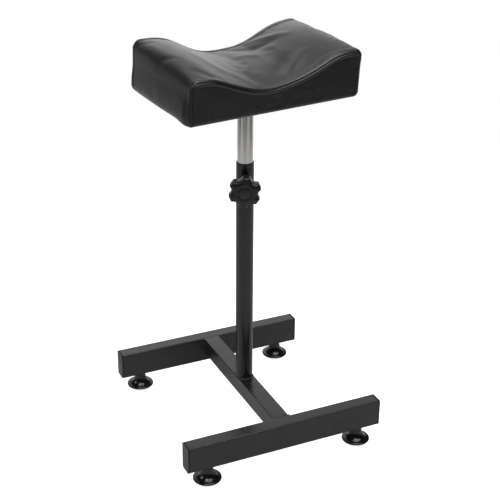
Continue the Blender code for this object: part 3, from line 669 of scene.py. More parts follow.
def placeStudio():
    world = bpy.data.worlds.new("studio")
    bpy.context.scene.world = world
    world.use_nodes = True
    tree = world.node_tree
    tree.nodes.clear()
    seen = addNode(tree, "ShaderNodeLightPath").outputs["Is Camera Ray"]
    soft = put(tree, "ShaderNodeBackground", {"Color": (1, 1, 1, 1), "Strength": panelLight(tree)})
    white = put(tree, "ShaderNodeBackground", {"Color": (1, 1, 1, 1), "Strength": studio["backdrop"]})
    both = put(tree, "ShaderNodeMixShader", {0: seen, 1: soft, 2: white})
    addNode(tree, "ShaderNodeOutputWorld", {"Surface": both})

    half, low = studio["floorHalf"], -studio["floorDrop"]
    square = Matrix.Rotation(math.radians(studio["floorTurn"]), 4, "Z")
    edges = ((-half, -half, low), (half, -half, low), (half, half, low), (-half, half, low))
    floor = bpy.data.meshes.new("floor")
    floor.from_pydata([square @ Vector(place) for place in edges], [], [(0, 1, 2, 3)])
    floor.materials.append(floorPaper())
    addObject("floor", floor)

    for name, spec in studio["lights"].items():
        data = bpy.data.lights.new(name, "AREA")
        data.shape, data.size, data.size_y = "RECTANGLE", *spec["size"]
        data.energy = spec["power"]
        lamp = addObject(name, data)
        lamp.location = spec["place"]
        toAim = Vector(studio["lightsAim"]) - lamp.location
        lamp.rotation_euler = toAim.to_track_quat("-Z", "Y").to_euler()
        lamp.visible_camera = False
    look = bpy.context.scene.view_settings
    look.view_transform, look.look, look.exposure, look.gamma = "Standard", "None", 0.0, 1.0


placeCamera()
placeStudio()
print("camera, floor and lights placed")


# Base: rails, cross bar, caps and welds

baseSizes = {"wall": 0.0012, "railCorner": 0.0024, "barCorner": 0.0012, "cornerSteps": 8, "support": 0.0012,
             "rim": 0.0008, "capEdge": 0.0007, "capCorner": 0.0019, "capFlange": 0.002, "weldWidth": 0.0036,
             "weldStep": 0.0011, "postWall": 0.0015}


def squareTube(name, node, axis, corner):
    # A rectangular tube along X or Y where the node is, with rounded corners
    middle, size = middleOf(node)
    width, length = (size.y, size.x) if axis == "x" else (size.x, size.y)
    wall, rim = baseSizes["wall"], baseSizes["rim"]

    def section(inset):
        radius = max(corner - inset, 0.0003)
        steps, support = baseSizes["cornerSteps"], baseSizes["support"]
        return roundedRectangle(width - 2 * inset, size.z - 2 * inset, radius, steps, support)

    outer, inner, rimmed = section(0), section(wall), section(rim)
    end = length / 2
    loops = []
    rings = ((rimmed, -end), (outer, rim - end), (outer, end - rim), (rimmed, end), (inner, end),
             (inner, -end))
    for loop, along in rings:
        loops.append([middle + Vector((along, a, b) if axis == "x" else (a, along, b)) for a, b in loop])
    piece = evenNormals(newPiece(name, *loft(loops, ring=True), "powderBlack", 60))
    settle(piece, "base", "black_steel", node)


squareTube("frontRail", "front_rail", "x", baseSizes["railCorner"])
squareTube("rearRail", "rear_rail", "x", baseSizes["railCorner"])
squareTube("crossBar", "cross_bar", "y", baseSizes["barCorner"])


def railCap(corner, sideX):
    # A moulded plug: a flange with soft edges and a hollow plug behind it
    node = f"rail_cap_{corner}"
    low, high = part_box(node)
    middle, size = middleOf(node)
    outerX, innerX = (high.x, low.x) if sideX > 0 else (low.x, high.x)
    flangeX = outerX - sideX * baseSizes["capFlange"]
    edge, soft = baseSizes["capEdge"], baseSizes["capCorner"]
    plug = 0.0020       # how far the plug lies inside the flange
    # Each ring is its place along X, its inset from the tube and its corner radius
    rings = [(innerX, plug + 0.0022, 0.0004), (innerX, plug + 0.0008, 0.0005),
             (innerX + sideX * 0.001, plug, 0.0006), (flangeX, plug, 0.0006), (flangeX, 0.0011, soft),
             (flangeX + sideX * 0.001, 0.0, soft)]
    for step in range(6):
        angle = quarterTurn * step / 5
        edgeX = outerX - sideX * edge * (1 - math.sin(angle))
        rings.append((edgeX, edge * (1 - math.cos(angle)), soft + 0.0003))
    rings += [(outerX, 0.0024, 0.001), (outerX - sideX * 0.00025, 0.0029, 0.001)]
    loops = []
    for x, inset, radius in rings:
        loop = roundedRectangle(size.y - 2 * inset, size.z - 2 * inset, radius, 5)
        loops.append([Vector((x, middle.y + a, middle.z + b)) for a, b in loop])
    piece = evenNormals(newPiece("railCap." + corner, *loft(loops), "capPlastic", 50))
    settle(piece, "base", "matte_black", node)


for corner, (sideX, _) in corners.items():
    railCap(corner, sideX)


def outerTube():
    low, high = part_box("outer_tube")
    outer = (high.x - low.x) / 2
    inner = outer - baseSizes["postWall"]
    profile = [(outer, low.z, 0.0003), (outer, high.z, 0.0005), (inner, high.z, 0.0004),
               (inner, low.z, 0.0002)]
    piece = newPiece("outerTube", *turned(filleted(profile), 128, ring=True), "powderPost", 60)
    settle(evenNormals(piece), "base", "black_steel", "outer_tube")
    return outer


postRadius = outerTube()

# The clamp's axis points out of the post at this height and angle
clampHeight = middleOf("knob_cap")[0].z
clampTurn = math.radians(-90 - 25)
clampFrame = Matrix.Rotation(clampTurn, 4, "Z") @ Matrix.Rotation(quarterTurn, 4, "Y")
clampFrame.translation = (0, 0, clampHeight)


def clampBoss():
    radius, bore, start, end = 0.008, 0.0043, 0.0115, 0.023
    profile = filleted([(bore, start, 0), (radius, start, 0), (radius, end, 0.0009), (bore, end, 0.0005)])
    points, faces = turned(profile, 64, ring=True)
    fitted = []
    for p in points:
        # The inner end follows the post's round side
        if p.z < start + 0.001:
            p = Vector((p.x, p.y, math.sqrt(max(postRadius ** 2 - p.y ** 2, 0)) + 0.0001))
        fitted.append(clampFrame @ p)
    piece = newPiece("clampBoss", fitted, faces, "powderBlack", 50)
    settle(piece, "base", "black_steel", "clamp_boss")


clampBoss()


def circle(radius, count, height=0.0):
    # count steps once round, with the first point again at the end
    angles = (2 * math.pi * i / count for i in range(count + 1))
    return [Vector((radius * math.cos(angle), radius * math.sin(angle), height)) for angle in angles]


def weldPaths():
    paths = []
    low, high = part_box("cross_bar")
    for side in (-1, 1):
        x = side * (high.x + 0.0006)
        for y in (low.y + 0.0004, high.y - 0.0004):
            paths.append([Vector((x, y, z)) for z in np.linspace(low.z + 0.002, high.z - 0.001, 14)])
    for y in (low.y, high.y):
        paths.append([Vector((x, y, low.z - 0.0002)) for x in np.linspace(-0.012, 0.012, 14)])
    margin = 0.0008
    ring = circle(postRadius + 0.0006, 72, high.z - margin)
    for p in ring:
        p.x = max(min(p.x, high.x - margin), low.x + margin)
    paths.append(ring)
    boss = circle(0.0084, 48)
    for p in boss:
        p.z = math.sqrt(postRadius ** 2 - p.y * p.y) + 0.0002
    paths.append(moved(boss, clampFrame))
    return paths


welds = growOn(pathPiece("baseWelds", weldPaths()), weldBead, Spacing=baseSizes["weldStep"],
               Width=baseSizes["weldWidth"], Finish=finish("powderBlack"))
settle(welds, "base", "black_steel")
print("base, post and welds made")


# Levelling feet

footSizes = {"sides": 96, "edge": 0.0025, "rimHeight": 0.0046, "neck": 0.0095, "rimSteps": 14,
             "flareSteps": 22}
threadSizes = {"Radius": 0.004, "Pitch": 0.00125, "Depth": 0.0006}


def footProfile(top, radius):
    edge, rimHeight, neck = footSizes["edge"], footSizes["rimHeight"], footSizes["neck"]
    flat = radius - edge
    profile = [(0.0043, 0.0073), (0.0068, 0.0073), (0.0068, 0.002), (0.0162, 0.002), (0.0170, 0.0012),
               (0.0174, 0.0002), (0.0178, 0.0)]
    for step in range(footSizes["rimSteps"] + 1):
        angle = math.pi * step / footSizes["rimSteps"]
        profile.append((flat + edge * math.sin(angle), rimHeight / 2 * (1 - math.cos(angle))))
    for step in range(1, footSizes["flareSteps"]):
        angle = quarterTurn * step / footSizes["flareSteps"]
        profile.append((flat - (flat - neck) * math.sin(angle), top - (top - rimHeight) * math.cos(angle)))
    profile += [(neck, top - 0.0006), (neck - 0.0002, top - 0.0002), (neck - 0.0006, top), (0.0076, top),
                (0.0073, top - 0.0003), (0.0073, top - 0.0016), (0.0043, top - 0.0016)]
    return profile


def screw(name, profile, turns, start):
    # A turned blank with a thread from its start upwards
    piece = newPiece(name, *turned(profile, 40), "zincSteel", 50)
    return growOn(piece, screwThread, **threadSizes, Turns=float(turns), Start=start,
                  Finish=finish("zincSteel"))


def levellingFoot(corner):
    low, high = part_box(f"foot_base_{corner}")
    place = Matrix.Translation(((low.x + high.x) / 2, (low.y + high.y) / 2, 0))
    points, faces = turned(footProfile(high.z, (high.x - low.x) / 2), footSizes["sides"], ring=True)
    piece = newPiece("footBase." + corner, moved(points, place), faces, "footPlastic", 50)
    settle(piece, f"foot_{corner}", "gloss_black", f"foot_base_{corner}")

    low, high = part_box(f"foot_bolt_{corner}")
    core, head, shoulder = 0.0035, 0.0065, low.z + 0.005
    profile = [(0, low.z, 0), (head, low.z, 0.0008), (head, shoulder, 0.0004), (core, shoulder, 0),
               (core, high.z, 0.0006), (0, high.z, 0)]
    turns = int((high.z - low.z - 0.007) / threadSizes["Pitch"])
    bolt = screw("footBolt." + corner, filleted(profile, 4, ring=False), turns, shoulder + 0.001)
    bolt.data.transform(place)
    settle(bolt, f"foot_bolt_{corner}_body", "zinc_steel", f"foot_bolt_{corner}")
    dress(f"foot_nut_{corner}", "zincSteel")
    dress(f"tee_nut_{corner}", "zincSteel")


for corner in corners:
    levellingFoot(corner)
print("feet made")


# Clamp screw and star knob

knobSizes = {"diameter": 0.054, "scallopRadius": 0.010, "scallopDepth": 0.005, "lobes": 6.0, "turn": -6.5,
             "hub": 0.0105, "hubStart": 0.0245, "headStart": 0.0295, "headEnd": 0.0475, "domeReach": 0.0095,
             "domeDrop": 0.0052, "backEdge": 0.0014, "well": 0.01055, "wellDepth": 0.0019, "sides": 288,
             "plainRadius": 0.0125, "blend": 0.0014}


def starKnob():
    s = knobSizes
    rim, hub, start, head, end = s["diameter"] / 2, s["hub"], s["hubStart"], s["headStart"], s["headEnd"]
    edge, well, wellFloor = s["backEdge"], s["well"], s["headEnd"] - s["wellDepth"]
    flange, flat = hub + 0.0012, rim - s["domeReach"]
    side = end - s["domeDrop"] - head - edge
    profile = [(0.0043, start + 0.0135), (0.0043, start), (hub - 0.0006, start), (hub, start + 0.0006),
               (hub, head - 0.0012), (hub + 0.0004, head - 0.0003), (flange, head)]
    profile += [(flange + (rim - edge - flange) * share, head) for share in (0.2, 0.4, 0.6, 0.8)]
    for step in range(6):
        angle = quarterTurn * step / 5
        profile.append((rim - edge * (1 - math.sin(angle)), head + edge * (1 - math.cos(angle))))
    profile += [(rim, head + edge + side * share) for share in (0.25, 0.5, 0.75)]
    for step in range(15):
        angle = quarterTurn * step / 14
        reach, drop = s["domeReach"] * (1 - math.cos(angle)), s["domeDrop"] * (1 - math.sin(angle))
        profile.append((rim - reach, end - drop))
    profile += [(flat + (well + 0.0006 - flat) * share, end) for share in (0.25, 0.5, 0.75)]
    profile += [(well + 0.0004, end), (well, end - 0.0004), (well, wellFloor), (0.0, wellFloor)]
    knob = newPiece("starKnob", *turned(profile, s["sides"]), "knobPlastic", 50)
    growOn(knob, knobLobes, Lobes=s["lobes"], Diameter=s["diameter"], Scallopradius=s["scallopRadius"],
           Scallopdepth=s["scallopDepth"], Plainradius=s["plainRadius"], Turn=math.radians(s["turn"]),
           Blend=s["blend"], Finish=finish("knobPlastic"))
    faceOutward(knob.data, close=True)
    smoothMesh(knob.data, 50)
    knob.data.transform(clampFrame)
    settle(knob, "knob", "matte_black", "star_knob")

    bottom, disc, crown = wellFloor + 0.0003, 0.01025, 0.0088
    corner = bottom + 0.00135
    profile = [(disc, bottom, 0), (disc, bottom + 0.0011, 0.0005), (crown, corner, 0.0008)]
    profile = filleted(profile, 4, ring=False)
    profile = [(0, bottom)] + profile
    profile += [(crown * share, corner + 0.0003 * (1 - share ** 2)) for share in (0.8, 0.6, 0.4, 0.2, 0)]
    points, faces = turned(profile, 96)
    cap = newPiece("knobCap", moved(points, clampFrame), faces, "knobCapPlastic", 50)
    settle(cap, "knob", "gloss_black", "knob_cap")


def clampScrew():
    start, end, core = 0.0135, 0.0379, 0.0035
    profile = [(0, start, 0), (core - 0.0004, start, 0), (core, start + 0.0006, 0), (core, end, 0),
               (0, end, 0)]
    piece = screw("clampScrew", filleted(profile, 2, ring=False), 17, start + 0.0014)
    piece.data.transform(clampFrame)
    settle(piece, "clamp_screw_body", "zinc_steel", "clamp_screw")


starKnob()
clampScrew()
print("clamp and knob made")


# Inner tube, guide, plate and bolts

tubeSizes = {"wall": 0.0012, "guideBore": 0.0097, "guidePlug": 0.0117, "guideFlange": 0.003}
plateSizes = {"length": 0.110, "width": 0.090, "corner": 0.008, "edge": 0.0005, "boltX": 0.0425,
              "boltY": 0.0325, "washer": 0.0062, "washerBore": 0.0032, "washerHeight": 0.001,
              "headHeight": 0.0040, "headAcross": 0.0100}


def innerTube():
    low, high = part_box("inner_tube")
    radius = (high.x - low.x) / 2
    inner = radius - tubeSizes["wall"]
    profile = [(radius, low.z, 0.0003), (radius, high.z, 0.0002), (inner, high.z, 0), (inner, low.z, 0.0002)]
    piece = newPiece("innerTube", *turned(filleted(profile), 128, ring=True), "chromedTube", 60)
    settle(evenNormals(piece), "pad_head", "chrome_steel", "inner_tube")

    ring = circle(radius + 0.0006, 60, high.z - 0.0006)
    bead = growOn(pathPiece("plateWeld", [ring]), weldBead, Spacing=0.001, Width=0.0034,
                  Finish=finish("powderBlack"))
    settle(bead, "pad_head", "black_steel")

    low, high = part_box("lower_guide")
    bore, plug, seat = tubeSizes["guideBore"], tubeSizes["guidePlug"], low.z + tubeSizes["guideFlange"]
    profile = filleted([(bore, low.z, 0.0002), (radius, low.z, 0.0005), (radius, seat, 0.0002),
                        (plug, seat, 0), (plug, high.z, 0.0006), (bore, high.z, 0.0002)])
    piece = newPiece("lowerGuide", *turned(profile, 96, ring=True), "capPlastic", 50)
    settle(piece, "lift", "matte_black", "lower_guide")


innerTube()

padSizes = {"length": 0.299, "width": 0.205, "turn": 5.5, "edgeRoll": 0.006, "rollRight": 0.0105,
            "lowRollLeft": 0.013, "lowRollFront": 0.0035, "lowRollRight": 0.008, "crown": 0.0055,
            "sag": 0.0082, "bulge": 0.0056, "leanLeft": 0.028, "leanRight": 0.045, "wrap": 0.022,
            "wall": 0.0012}
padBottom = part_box("pad_cover")[0].z
padFrame = Matrix.Rotation(math.radians(padSizes["turn"]), 4, "Z")
padPlace = Matrix.Translation((0, 0, padBottom)) @ padFrame


def boltHead(top):
    # A washer and a hexagonal head below it, as points and faces
    s = plateSizes
    under = top - s["washerHeight"]
    bore, rim = s["washerBore"], s["washer"]
    washer = [(bore, under, 0.0001), (rim, under, 0.0003), (rim, top, 0.0001), (bore, top, 0)]
    points, faces = turned(filleted(washer, 3), 40, ring=True)
    end = top - s["headHeight"]
    loops = [circle(0.0035, 48, end)[:-1]]
    hexagon = s["headAcross"]
    for across, height, most in ((hexagon - 0.001, end, 0.0045), (hexagon, end + 0.0006, 0.00535),
                                 (hexagon, under, 0.00535)):
        loop = []
        for i in range(48):
            angle = 2 * math.pi * i / 48
            fromFlat = angle % (math.pi / 3) - math.pi / 6
            reach = min(across / 2 / math.cos(fromFlat), most)
            loop.append(Vector((reach * math.cos(angle), reach * math.sin(angle), height)))
        loops.append(loop)
    headPoints, headFaces = loft(loops)
    return points + headPoints, faces + [tuple(i + len(points) for i in face) for face in headFaces]


def mountPlate():
    low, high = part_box("mount_plate")
    s = plateSizes
    edge, soft = s["edge"], 0.3 * s["edge"]
    loops = []
    for height, inset in ((low.z, edge), (low.z + soft, soft), (low.z + edge, 0), (high.z - edge, 0),
                          (high.z - soft, soft), (high.z, edge)):
        outline = roundedRectangle(s["length"] - 2 * inset, s["width"] - 2 * inset, s["corner"] - inset, 8)
        loops.append([padFrame @ Vector((a, b, height)) for a, b in outline])
    piece = evenNormals(newPiece("mountPlate", *loft(loops), "powderBlack", 60))
    settle(piece, "pad_head", "black_steel", "mount_plate")

    head, headFaces = boltHead(low.z - 0.0003)
    points, faces = [], []
    for sideX in (-1, 1):
        for sideY in (-1, 1):
            spot = padFrame @ Vector((sideX * s["boltX"], sideY * s["boltY"], 0))
            faces += [tuple(i + len(points) for i in face) for face in headFaces]
            points += [p + spot for p in head]
    piece = newPiece("plateBolts", points, faces, "zincSteel", 30)
    settle(piece, "pad_head", "zinc_steel", *[f"plate_bolt_{corner}" for corner in corners])


mountPlate()
dress("pad_board", "plywood")
print("plate, bolts and tube made")


# Pad

# Heights of the saddle over the pad's bottom at places along the pad, on the front and the rear edge
seamPlaces = (-0.135, -0.112, -0.090, -0.060, -0.034, -0.010, 0.015, 0.045, 0.076, 0.105, 0.135)
frontEdge = (0.0650, 0.0639, 0.0564, 0.0451, 0.0384, 0.0375, 0.0409, 0.0483, 0.0600, 0.0716, 0.0758)
rearEdge = (0.0823, 0.0812, 0.0762, 0.0618, 0.0507, 0.0470, 0.0476, 0.0519, 0.0647, 0.0772, 0.0828)


def smoothLine(places, values):
    # A natural cubic spline through the values
    x, y = np.array(places, float), np.array(values, float)
    n, h = len(x), np.diff(x)
    a, b = np.eye(n), np.zeros(n)
    for i in range(1, n - 1):
        a[i, i - 1:i + 2] = h[i - 1], 2 * (h[i - 1] + h[i]), h[i]
        b[i] = 6 * ((y[i + 1] - y[i]) / h[i] - (y[i] - y[i - 1]) / h[i - 1])
    bend = np.linalg.solve(a, b)

    def value(at):
        at = np.clip(at, x[0], x[-1])
        k = np.clip(np.searchsorted(x, at) - 1, 0, n - 2)
        left, right = x[k + 1] - at, at - x[k]
        curve = (bend[k] * left ** 3 + bend[k + 1] * right ** 3) / (6 * h[k])
        curve += (y[k] / h[k] - bend[k] * h[k] / 6) * left
        return curve + (y[k + 1] / h[k] - bend[k + 1] * h[k] / 6) * right
    return value


frontHeight, rearHeight = smoothLine(seamPlaces, frontEdge), smoothLine(seamPlaces, rearEdge)
# Radius of the roll along the top of the left end, from front to rear
leftRoll = smoothLine((-0.1025, -0.06, 0.0, 0.05, 0.085, 0.1025),
                      (0.0125, 0.0150, 0.0165, 0.0155, 0.0140, 0.0130))


def eased(share):
    share = np.clip(share, 0, 1)
    return share * share * (3 - 2 * share)


def saddleHeight(x, y):
    flat = padSizes["width"] / 2 - padSizes["edgeRoll"]
    share = np.clip((y + flat) / (2 * flat), 0, 1)
    flatter = 1 - 0.34 * eased((x - 0.07) / 0.065)
    higher = 1 + 0.35 * np.clip(x / 0.12, 0, 1)
    crown = padSizes["crown"] * np.clip(1 - (y / flat) ** 2, 0, 1) * higher * flatter
    return (1 - share) * frontHeight(x) + share * rearHeight(x) + crown


def padOutline(y, inset, counts):
    # The pad's outline in XZ at one place across it: over the top, down the left end, along the bottom and up
    top, roll, face, low = counts
    half = padSizes["length"] / 2 - inset
    share = min(max(y / padSizes["width"] + 0.5, 0), 1)
    rolls = {-1: max(leftRoll(y) - inset, 0.004), 1: max(padSizes["rollRight"] - inset, 0.004)}
    growth = padSizes["lowRollLeft"] - padSizes["lowRollFront"]
    lowLeft = padSizes["lowRollFront"] + growth * eased((share - 0.02) / 0.25)
    lowRolls = {-1: max(lowLeft - inset, 0.002), 1: max(padSizes["lowRollRight"] - inset, 0.002)}
    right, left = half - rolls[1], rolls[-1] - half
    # The points over the top lie a little closer together towards the ends
    x = 0.125 * (right - left) * np.cos(np.linspace(0, np.pi, top + 1)) + 0.125 * (right + left)
    x += 0.75 * np.linspace(right, left, top + 1)
    z = saddleHeight(x, y) - inset
    over = np.stack([x, z], 1)
    ends = []
    for side, crest in ((-1, z[-1]), (1, z[0])):
        topRoll, lowRoll = rolls[side], lowRolls[side]
        reach = half - topRoll
        angle = np.linspace(0, quarterTurn, roll + 1)[1:]
        arc = np.stack([side * (reach + topRoll * np.sin(angle)), crest - topRoll * (1 - np.cos(angle))], 1)
        start, end = arc[-1][1], inset + lowRoll
        down = np.linspace(start, end, face + 1)[1:]
        wallPart = np.stack([np.full(face, side * half), down], 1)
        angle = np.linspace(0, quarterTurn, low + 1)[1:]
        cornerX = side * (half - lowRoll * (1 - np.cos(angle)))
        corner = np.stack([cornerX, inset + lowRoll * (1 - np.sin(angle))], 1)
        ends.append(np.concatenate([arc, wallPart, corner]))
    x = np.linspace(-half + lowRolls[-1], half - lowRolls[1], top + 1)[1:]
    bottom = np.stack([x, np.full(top, inset)], 1)
    return np.concatenate([over, ends[0], bottom, ends[1][::-1][1:]])


def stationList(spacing, seamRows):
    # Places across the pad, as (y, inset)
    width, roll, near = padSizes["width"], padSizes["edgeRoll"], seamRows["near"]
    flat = width / 2 - roll
    stations = [(-width / 2, roll + d) for d in reversed(seamRows["rings"])]
    for tilt in map(math.radians, seamRows["arc"]):
        stations.append((-flat - roll * math.sin(tilt), roll * (1 - math.cos(tilt))))
    stations += [(-flat + d, 0.0) for d in near]
    inner = flat - near[-1]
    count = max(int(round(2 * inner / spacing)), 2)
    middle = [(-inner + 2 * inner * k / count, 0.0) for k in range(1, count)]
    return stations + middle + [(-y, inset) for y, inset in reversed(stations)]


# arc lists how far the edge roll has turned down at each row, in degrees; the join lies at joinTilt
joinTilt = 52
coarseRows = {"rings": (0.0035, 0.0075), "arc": (90, 45, 0), "near": (0.0025, 0.0065)}
fineRows = {"rings": (0.0006, 0.0012, 0.0018, 0.0025, 0.0033, 0.0042, 0.0052, 0.0066, 0.0085),
            "arc": (90, 82, 75, 69, 64, 60, 57, 54.5, joinTilt, 49.5, 47, 44, 40, 35, 29, 22, 15, 7, 0),
            "near": (0.0006, 0.0014, 0.0021, 0.0027, *(0.0032 + 0.0005 * step for step in range(19)),
                     0.0129, 0.0138)}
# How many steps go over the top, round the roll, down the end and round the low corner
coarseCounts = (48, 5, 8, 4)
fineCounts = (96, 10, 16, 8)


def padGrid(spacing, rows, counts):
    stations = stationList(spacing, rows)
    loops = []
    for y, inset in stations:
        outline = padOutline(y, inset, counts)
        loops.append(np.stack([outline[:, 0], np.full(len(outline), y), outline[:, 1]], 1))
    return np.array(loops), stations


def surfaceSpan(grid, at):
    # Distance along the surface from the first row to each row, down the loop's point at
    steps = np.linalg.norm(np.diff(grid[:, at], axis=0), axis=1)
    return np.concatenate([[0], np.cumsum(steps)])


def panelGrid(loop, counts):
    # Fills a saddle-shaped side between the loop's top, bottom and two ends
    top, roll, face, low = counts
    ends = roll + face + low
    n = len(loop)
    upper = loop[:top + 1]
    left = loop[top:top + ends + 1]
    lower = loop[[(n - ends - k) % n for k in range(top + 1)]]
    right = loop[[(n - k) % n for k in range(ends + 1)]]
    drop = right[0][2] - right[-1][2]
    rows = [upper]
    for k in range(1, ends):
        v = (right[0][2] - right[k][2]) / drop
        u = (np.arange(top + 1) / top)[:, None]
        line = (1 - v) * upper + v * lower + (1 - u) * right[k] + u * left[k]
        fourCorners = (1 - u) * (1 - v) * upper[0] + u * (1 - v) * upper[-1]
        line -= fourCorners + (1 - u) * v * lower[0] + u * v * lower[-1]
        line[0], line[-1] = right[k], left[k]
        rows.append(line)
    rows.append(lower)
    return np.array(rows)


def padFaces(rowCount, loopCount, counts, stations, opening):
    # Faces of the lofted skin, and of the two side panels joined to it
    top, roll, face, low = counts
    ends = roll + face + low
    wrap, half = padSizes["wrap"], padSizes["length"] / 2
    faces = []
    flat = padSizes["length"] - padSizes["lowRollLeft"] - padSizes["lowRollRight"]
    skip = set()
    if opening:
        for i in range(top):
            if abs(padSizes["lowRollLeft"] - half + flat * (i + 0.5) / top) < half - wrap:
                skip.add(top + ends + i)
    for j in range(rowCount - 1):
        y = (stations[j][0] + stations[j + 1][0]) / 2
        for i in range(loopCount):
            if i in skip and abs(y) < padSizes["width"] / 2 - wrap:
                continue
            k = (i + 1) % loopCount
            low, high = j * loopCount, (j + 1) * loopCount
            faces.append((low + i, low + k, high + k, high + i))
    panels = []
    nextPoint = rowCount * loopCount
    for row in (0, rowCount - 1):
        index = np.zeros((ends + 1, top + 1), int)
        base = row * loopCount
        index[0] = base + np.arange(top + 1)
        index[-1] = [base + (loopCount - ends - k) % loopCount for k in range(top + 1)]
        index[:, -1] = base + np.arange(top, top + ends + 1)
        index[:, 0] = [base + (loopCount - k) % loopCount for k in range(ends + 1)]
        for a in range(1, ends):
            for b in range(1, top):
                index[a, b] = nextPoint
                nextPoint += 1
        for a in range(ends):
            for b in range(top):
                quad = (index[a, b], index[a, b + 1], index[a + 1, b + 1], index[a + 1, b])
                faces.append(tuple(map(int, quad)))
        panels.append(index)
    return faces, panels


def padPoints(grid, counts):
    inner = [panelGrid(loop, counts)[1:-1, 1:-1].reshape(-1, 3) for loop in (grid[0], grid[-1])]
    return np.concatenate([grid.reshape(-1, 3)] + inner)


def shaped(points):
    # Draws the side faces in at mid height and leans the pad's ends
    out = points.copy()
    x, y, z = points.T
    middle = saddleHeight(np.clip(x, -0.13, 0.13), y)
    bulge = np.sin(np.pi * np.clip(z / middle, 0, 1))
    endShare = np.clip((np.abs(x) - 0.1325) / 0.015, 0, 1)
    sideShare = np.clip((np.abs(y) - 0.0925) / 0.010, 0, 1)
    lean = np.where(x < 0, padSizes["leanLeft"], padSizes["leanRight"]) * np.clip(np.abs(x) / 0.12, 0, 1)
    out[:, 0] += np.sign(x) * 0.0008 * bulge * endShare + lean * (z - 0.036)
    out[:, 0] += 0.0012 * eased((z - 0.045) / 0.02) * eased((x - 0.12) / 0.02)
    out[:, 1] -= np.sign(y) * 0.0010 * bulge * sideShare
    # The left end bulges towards its bottom, but not at the front corner
    along = eased((y + 0.1025) / 0.022) * (1 - 0.45 * np.clip(y / 0.1, 0, 1))
    low = eased((0.048 - z) / 0.036) * (1 - 0.25 * eased((0.012 - z) / 0.012))
    out[:, 0] -= padSizes["bulge"] * along * low * eased((-x - 0.126) / 0.018)
    # The filling hangs a little over the board's edge, most at the front left
    inward = np.minimum(0.1495 - np.abs(x), 0.1025 - np.abs(y))
    frontward = np.clip(0.5 - y / 0.205, 0, 1) ** 0.3 * (1 - 0.5 * np.clip((-y - 0.065) / 0.035, 0, 1))
    hang = np.clip(0.5 - x / 0.3, 0, 1) * frontward * np.clip(1 - inward / 0.024, 0, 1)
    out[:, 2] -= padSizes["sag"] * hang * np.clip(1 - z / 0.035, 0, 1) ** 1.5
    return out


padSwell = {"frames": 20, "cap": 0.006, "startInset": 0.0012, "easeTop": 0.55, "easeSides": 0.3,
            "seamPin": 0.92, "seamNear": 0.0008, "underside": 0.004}
clothFeel = {"quality": 6, "mass": 0.25, "tension_stiffness": 55, "compression_stiffness": 55,
             "shear_stiffness": 8, "bending_stiffness": 1.2, "use_pressure": True,
             "uniform_pressure_force": 4.5, "shrink_min": -0.004, "vertex_group_mass": "pinned",
             "pin_stiffness": 2.0}


def swell():
    # Lets the cover swell as cloth between its pinned seams, and returns how far each coarse point moves
    grid, stations = padGrid(0.006, coarseRows, coarseCounts)
    faces, panels = padFaces(len(grid), grid.shape[1], coarseCounts, stations, False)
    points = shaped(padPoints(grid, coarseCounts))
    piece = newPiece("padSwell", points, faces, "blackHide", 180, outward=False)
    mesh = piece.data
    faceOutward(mesh)
    normals = np.array([v.normal for v in mesh.vertices])
    start = points - normals * padSwell["startInset"]
    mesh.vertices.foreach_set("co", start.astype(np.float32).ravel())
    group = piece.vertex_groups.new(name="pinned")
    rows, loopCount = grid.shape[:2]
    roll, near = padSizes["edgeRoll"], padSwell["seamNear"]
    seamAt = padSizes["width"] / 2 - roll
    sewnRows = [abs(abs(y) - seamAt) < near or abs(inset - roll) < near for y, inset in stations]
    for i, height in enumerate(points[:, 2]):
        if height < padSwell["underside"]:
            group.add([i], 1.0, "REPLACE")
        elif i < rows * loopCount and sewnRows[i // loopCount]:
            group.add([i], padSwell["seamPin"], "REPLACE")
    cloth = piece.modifiers.new("cloth", "CLOTH")
    for key, value in clothFeel.items():
        setattr(cloth.settings, key, value)
    cloth.settings.effector_weights.gravity = 0.0
    cloth.collision_settings.use_collision = False
    scene = bpy.context.scene
    cloth.point_cache.frame_start, cloth.point_cache.frame_end = 1, padSwell["frames"]
    for number in range(1, padSwell["frames"] + 1):
        scene.frame_set(number)
    view = bpy.context.evaluated_depsgraph_get()
    final = np.array([v.co for v in piece.evaluated_get(view).data.vertices])
    scene.frame_set(1)
    change = final - start
    length = np.linalg.norm(change, axis=1)
    change *= np.minimum(1, padSwell["cap"] / np.maximum(length, 1e-9))[:, None]
    upward = np.clip((normals[:, 2] - 0.2) / 0.5, 0, 1)[:, None]
    change *= padSwell["easeSides"] + (padSwell["easeTop"] - padSwell["easeSides"]) * upward
    bpy.data.objects.remove(piece)
    print("pad swelled: median %.1f mm, most %.1f mm" % (1000 * np.median(length), 1000 * length.max()))
    return grid, change, panels


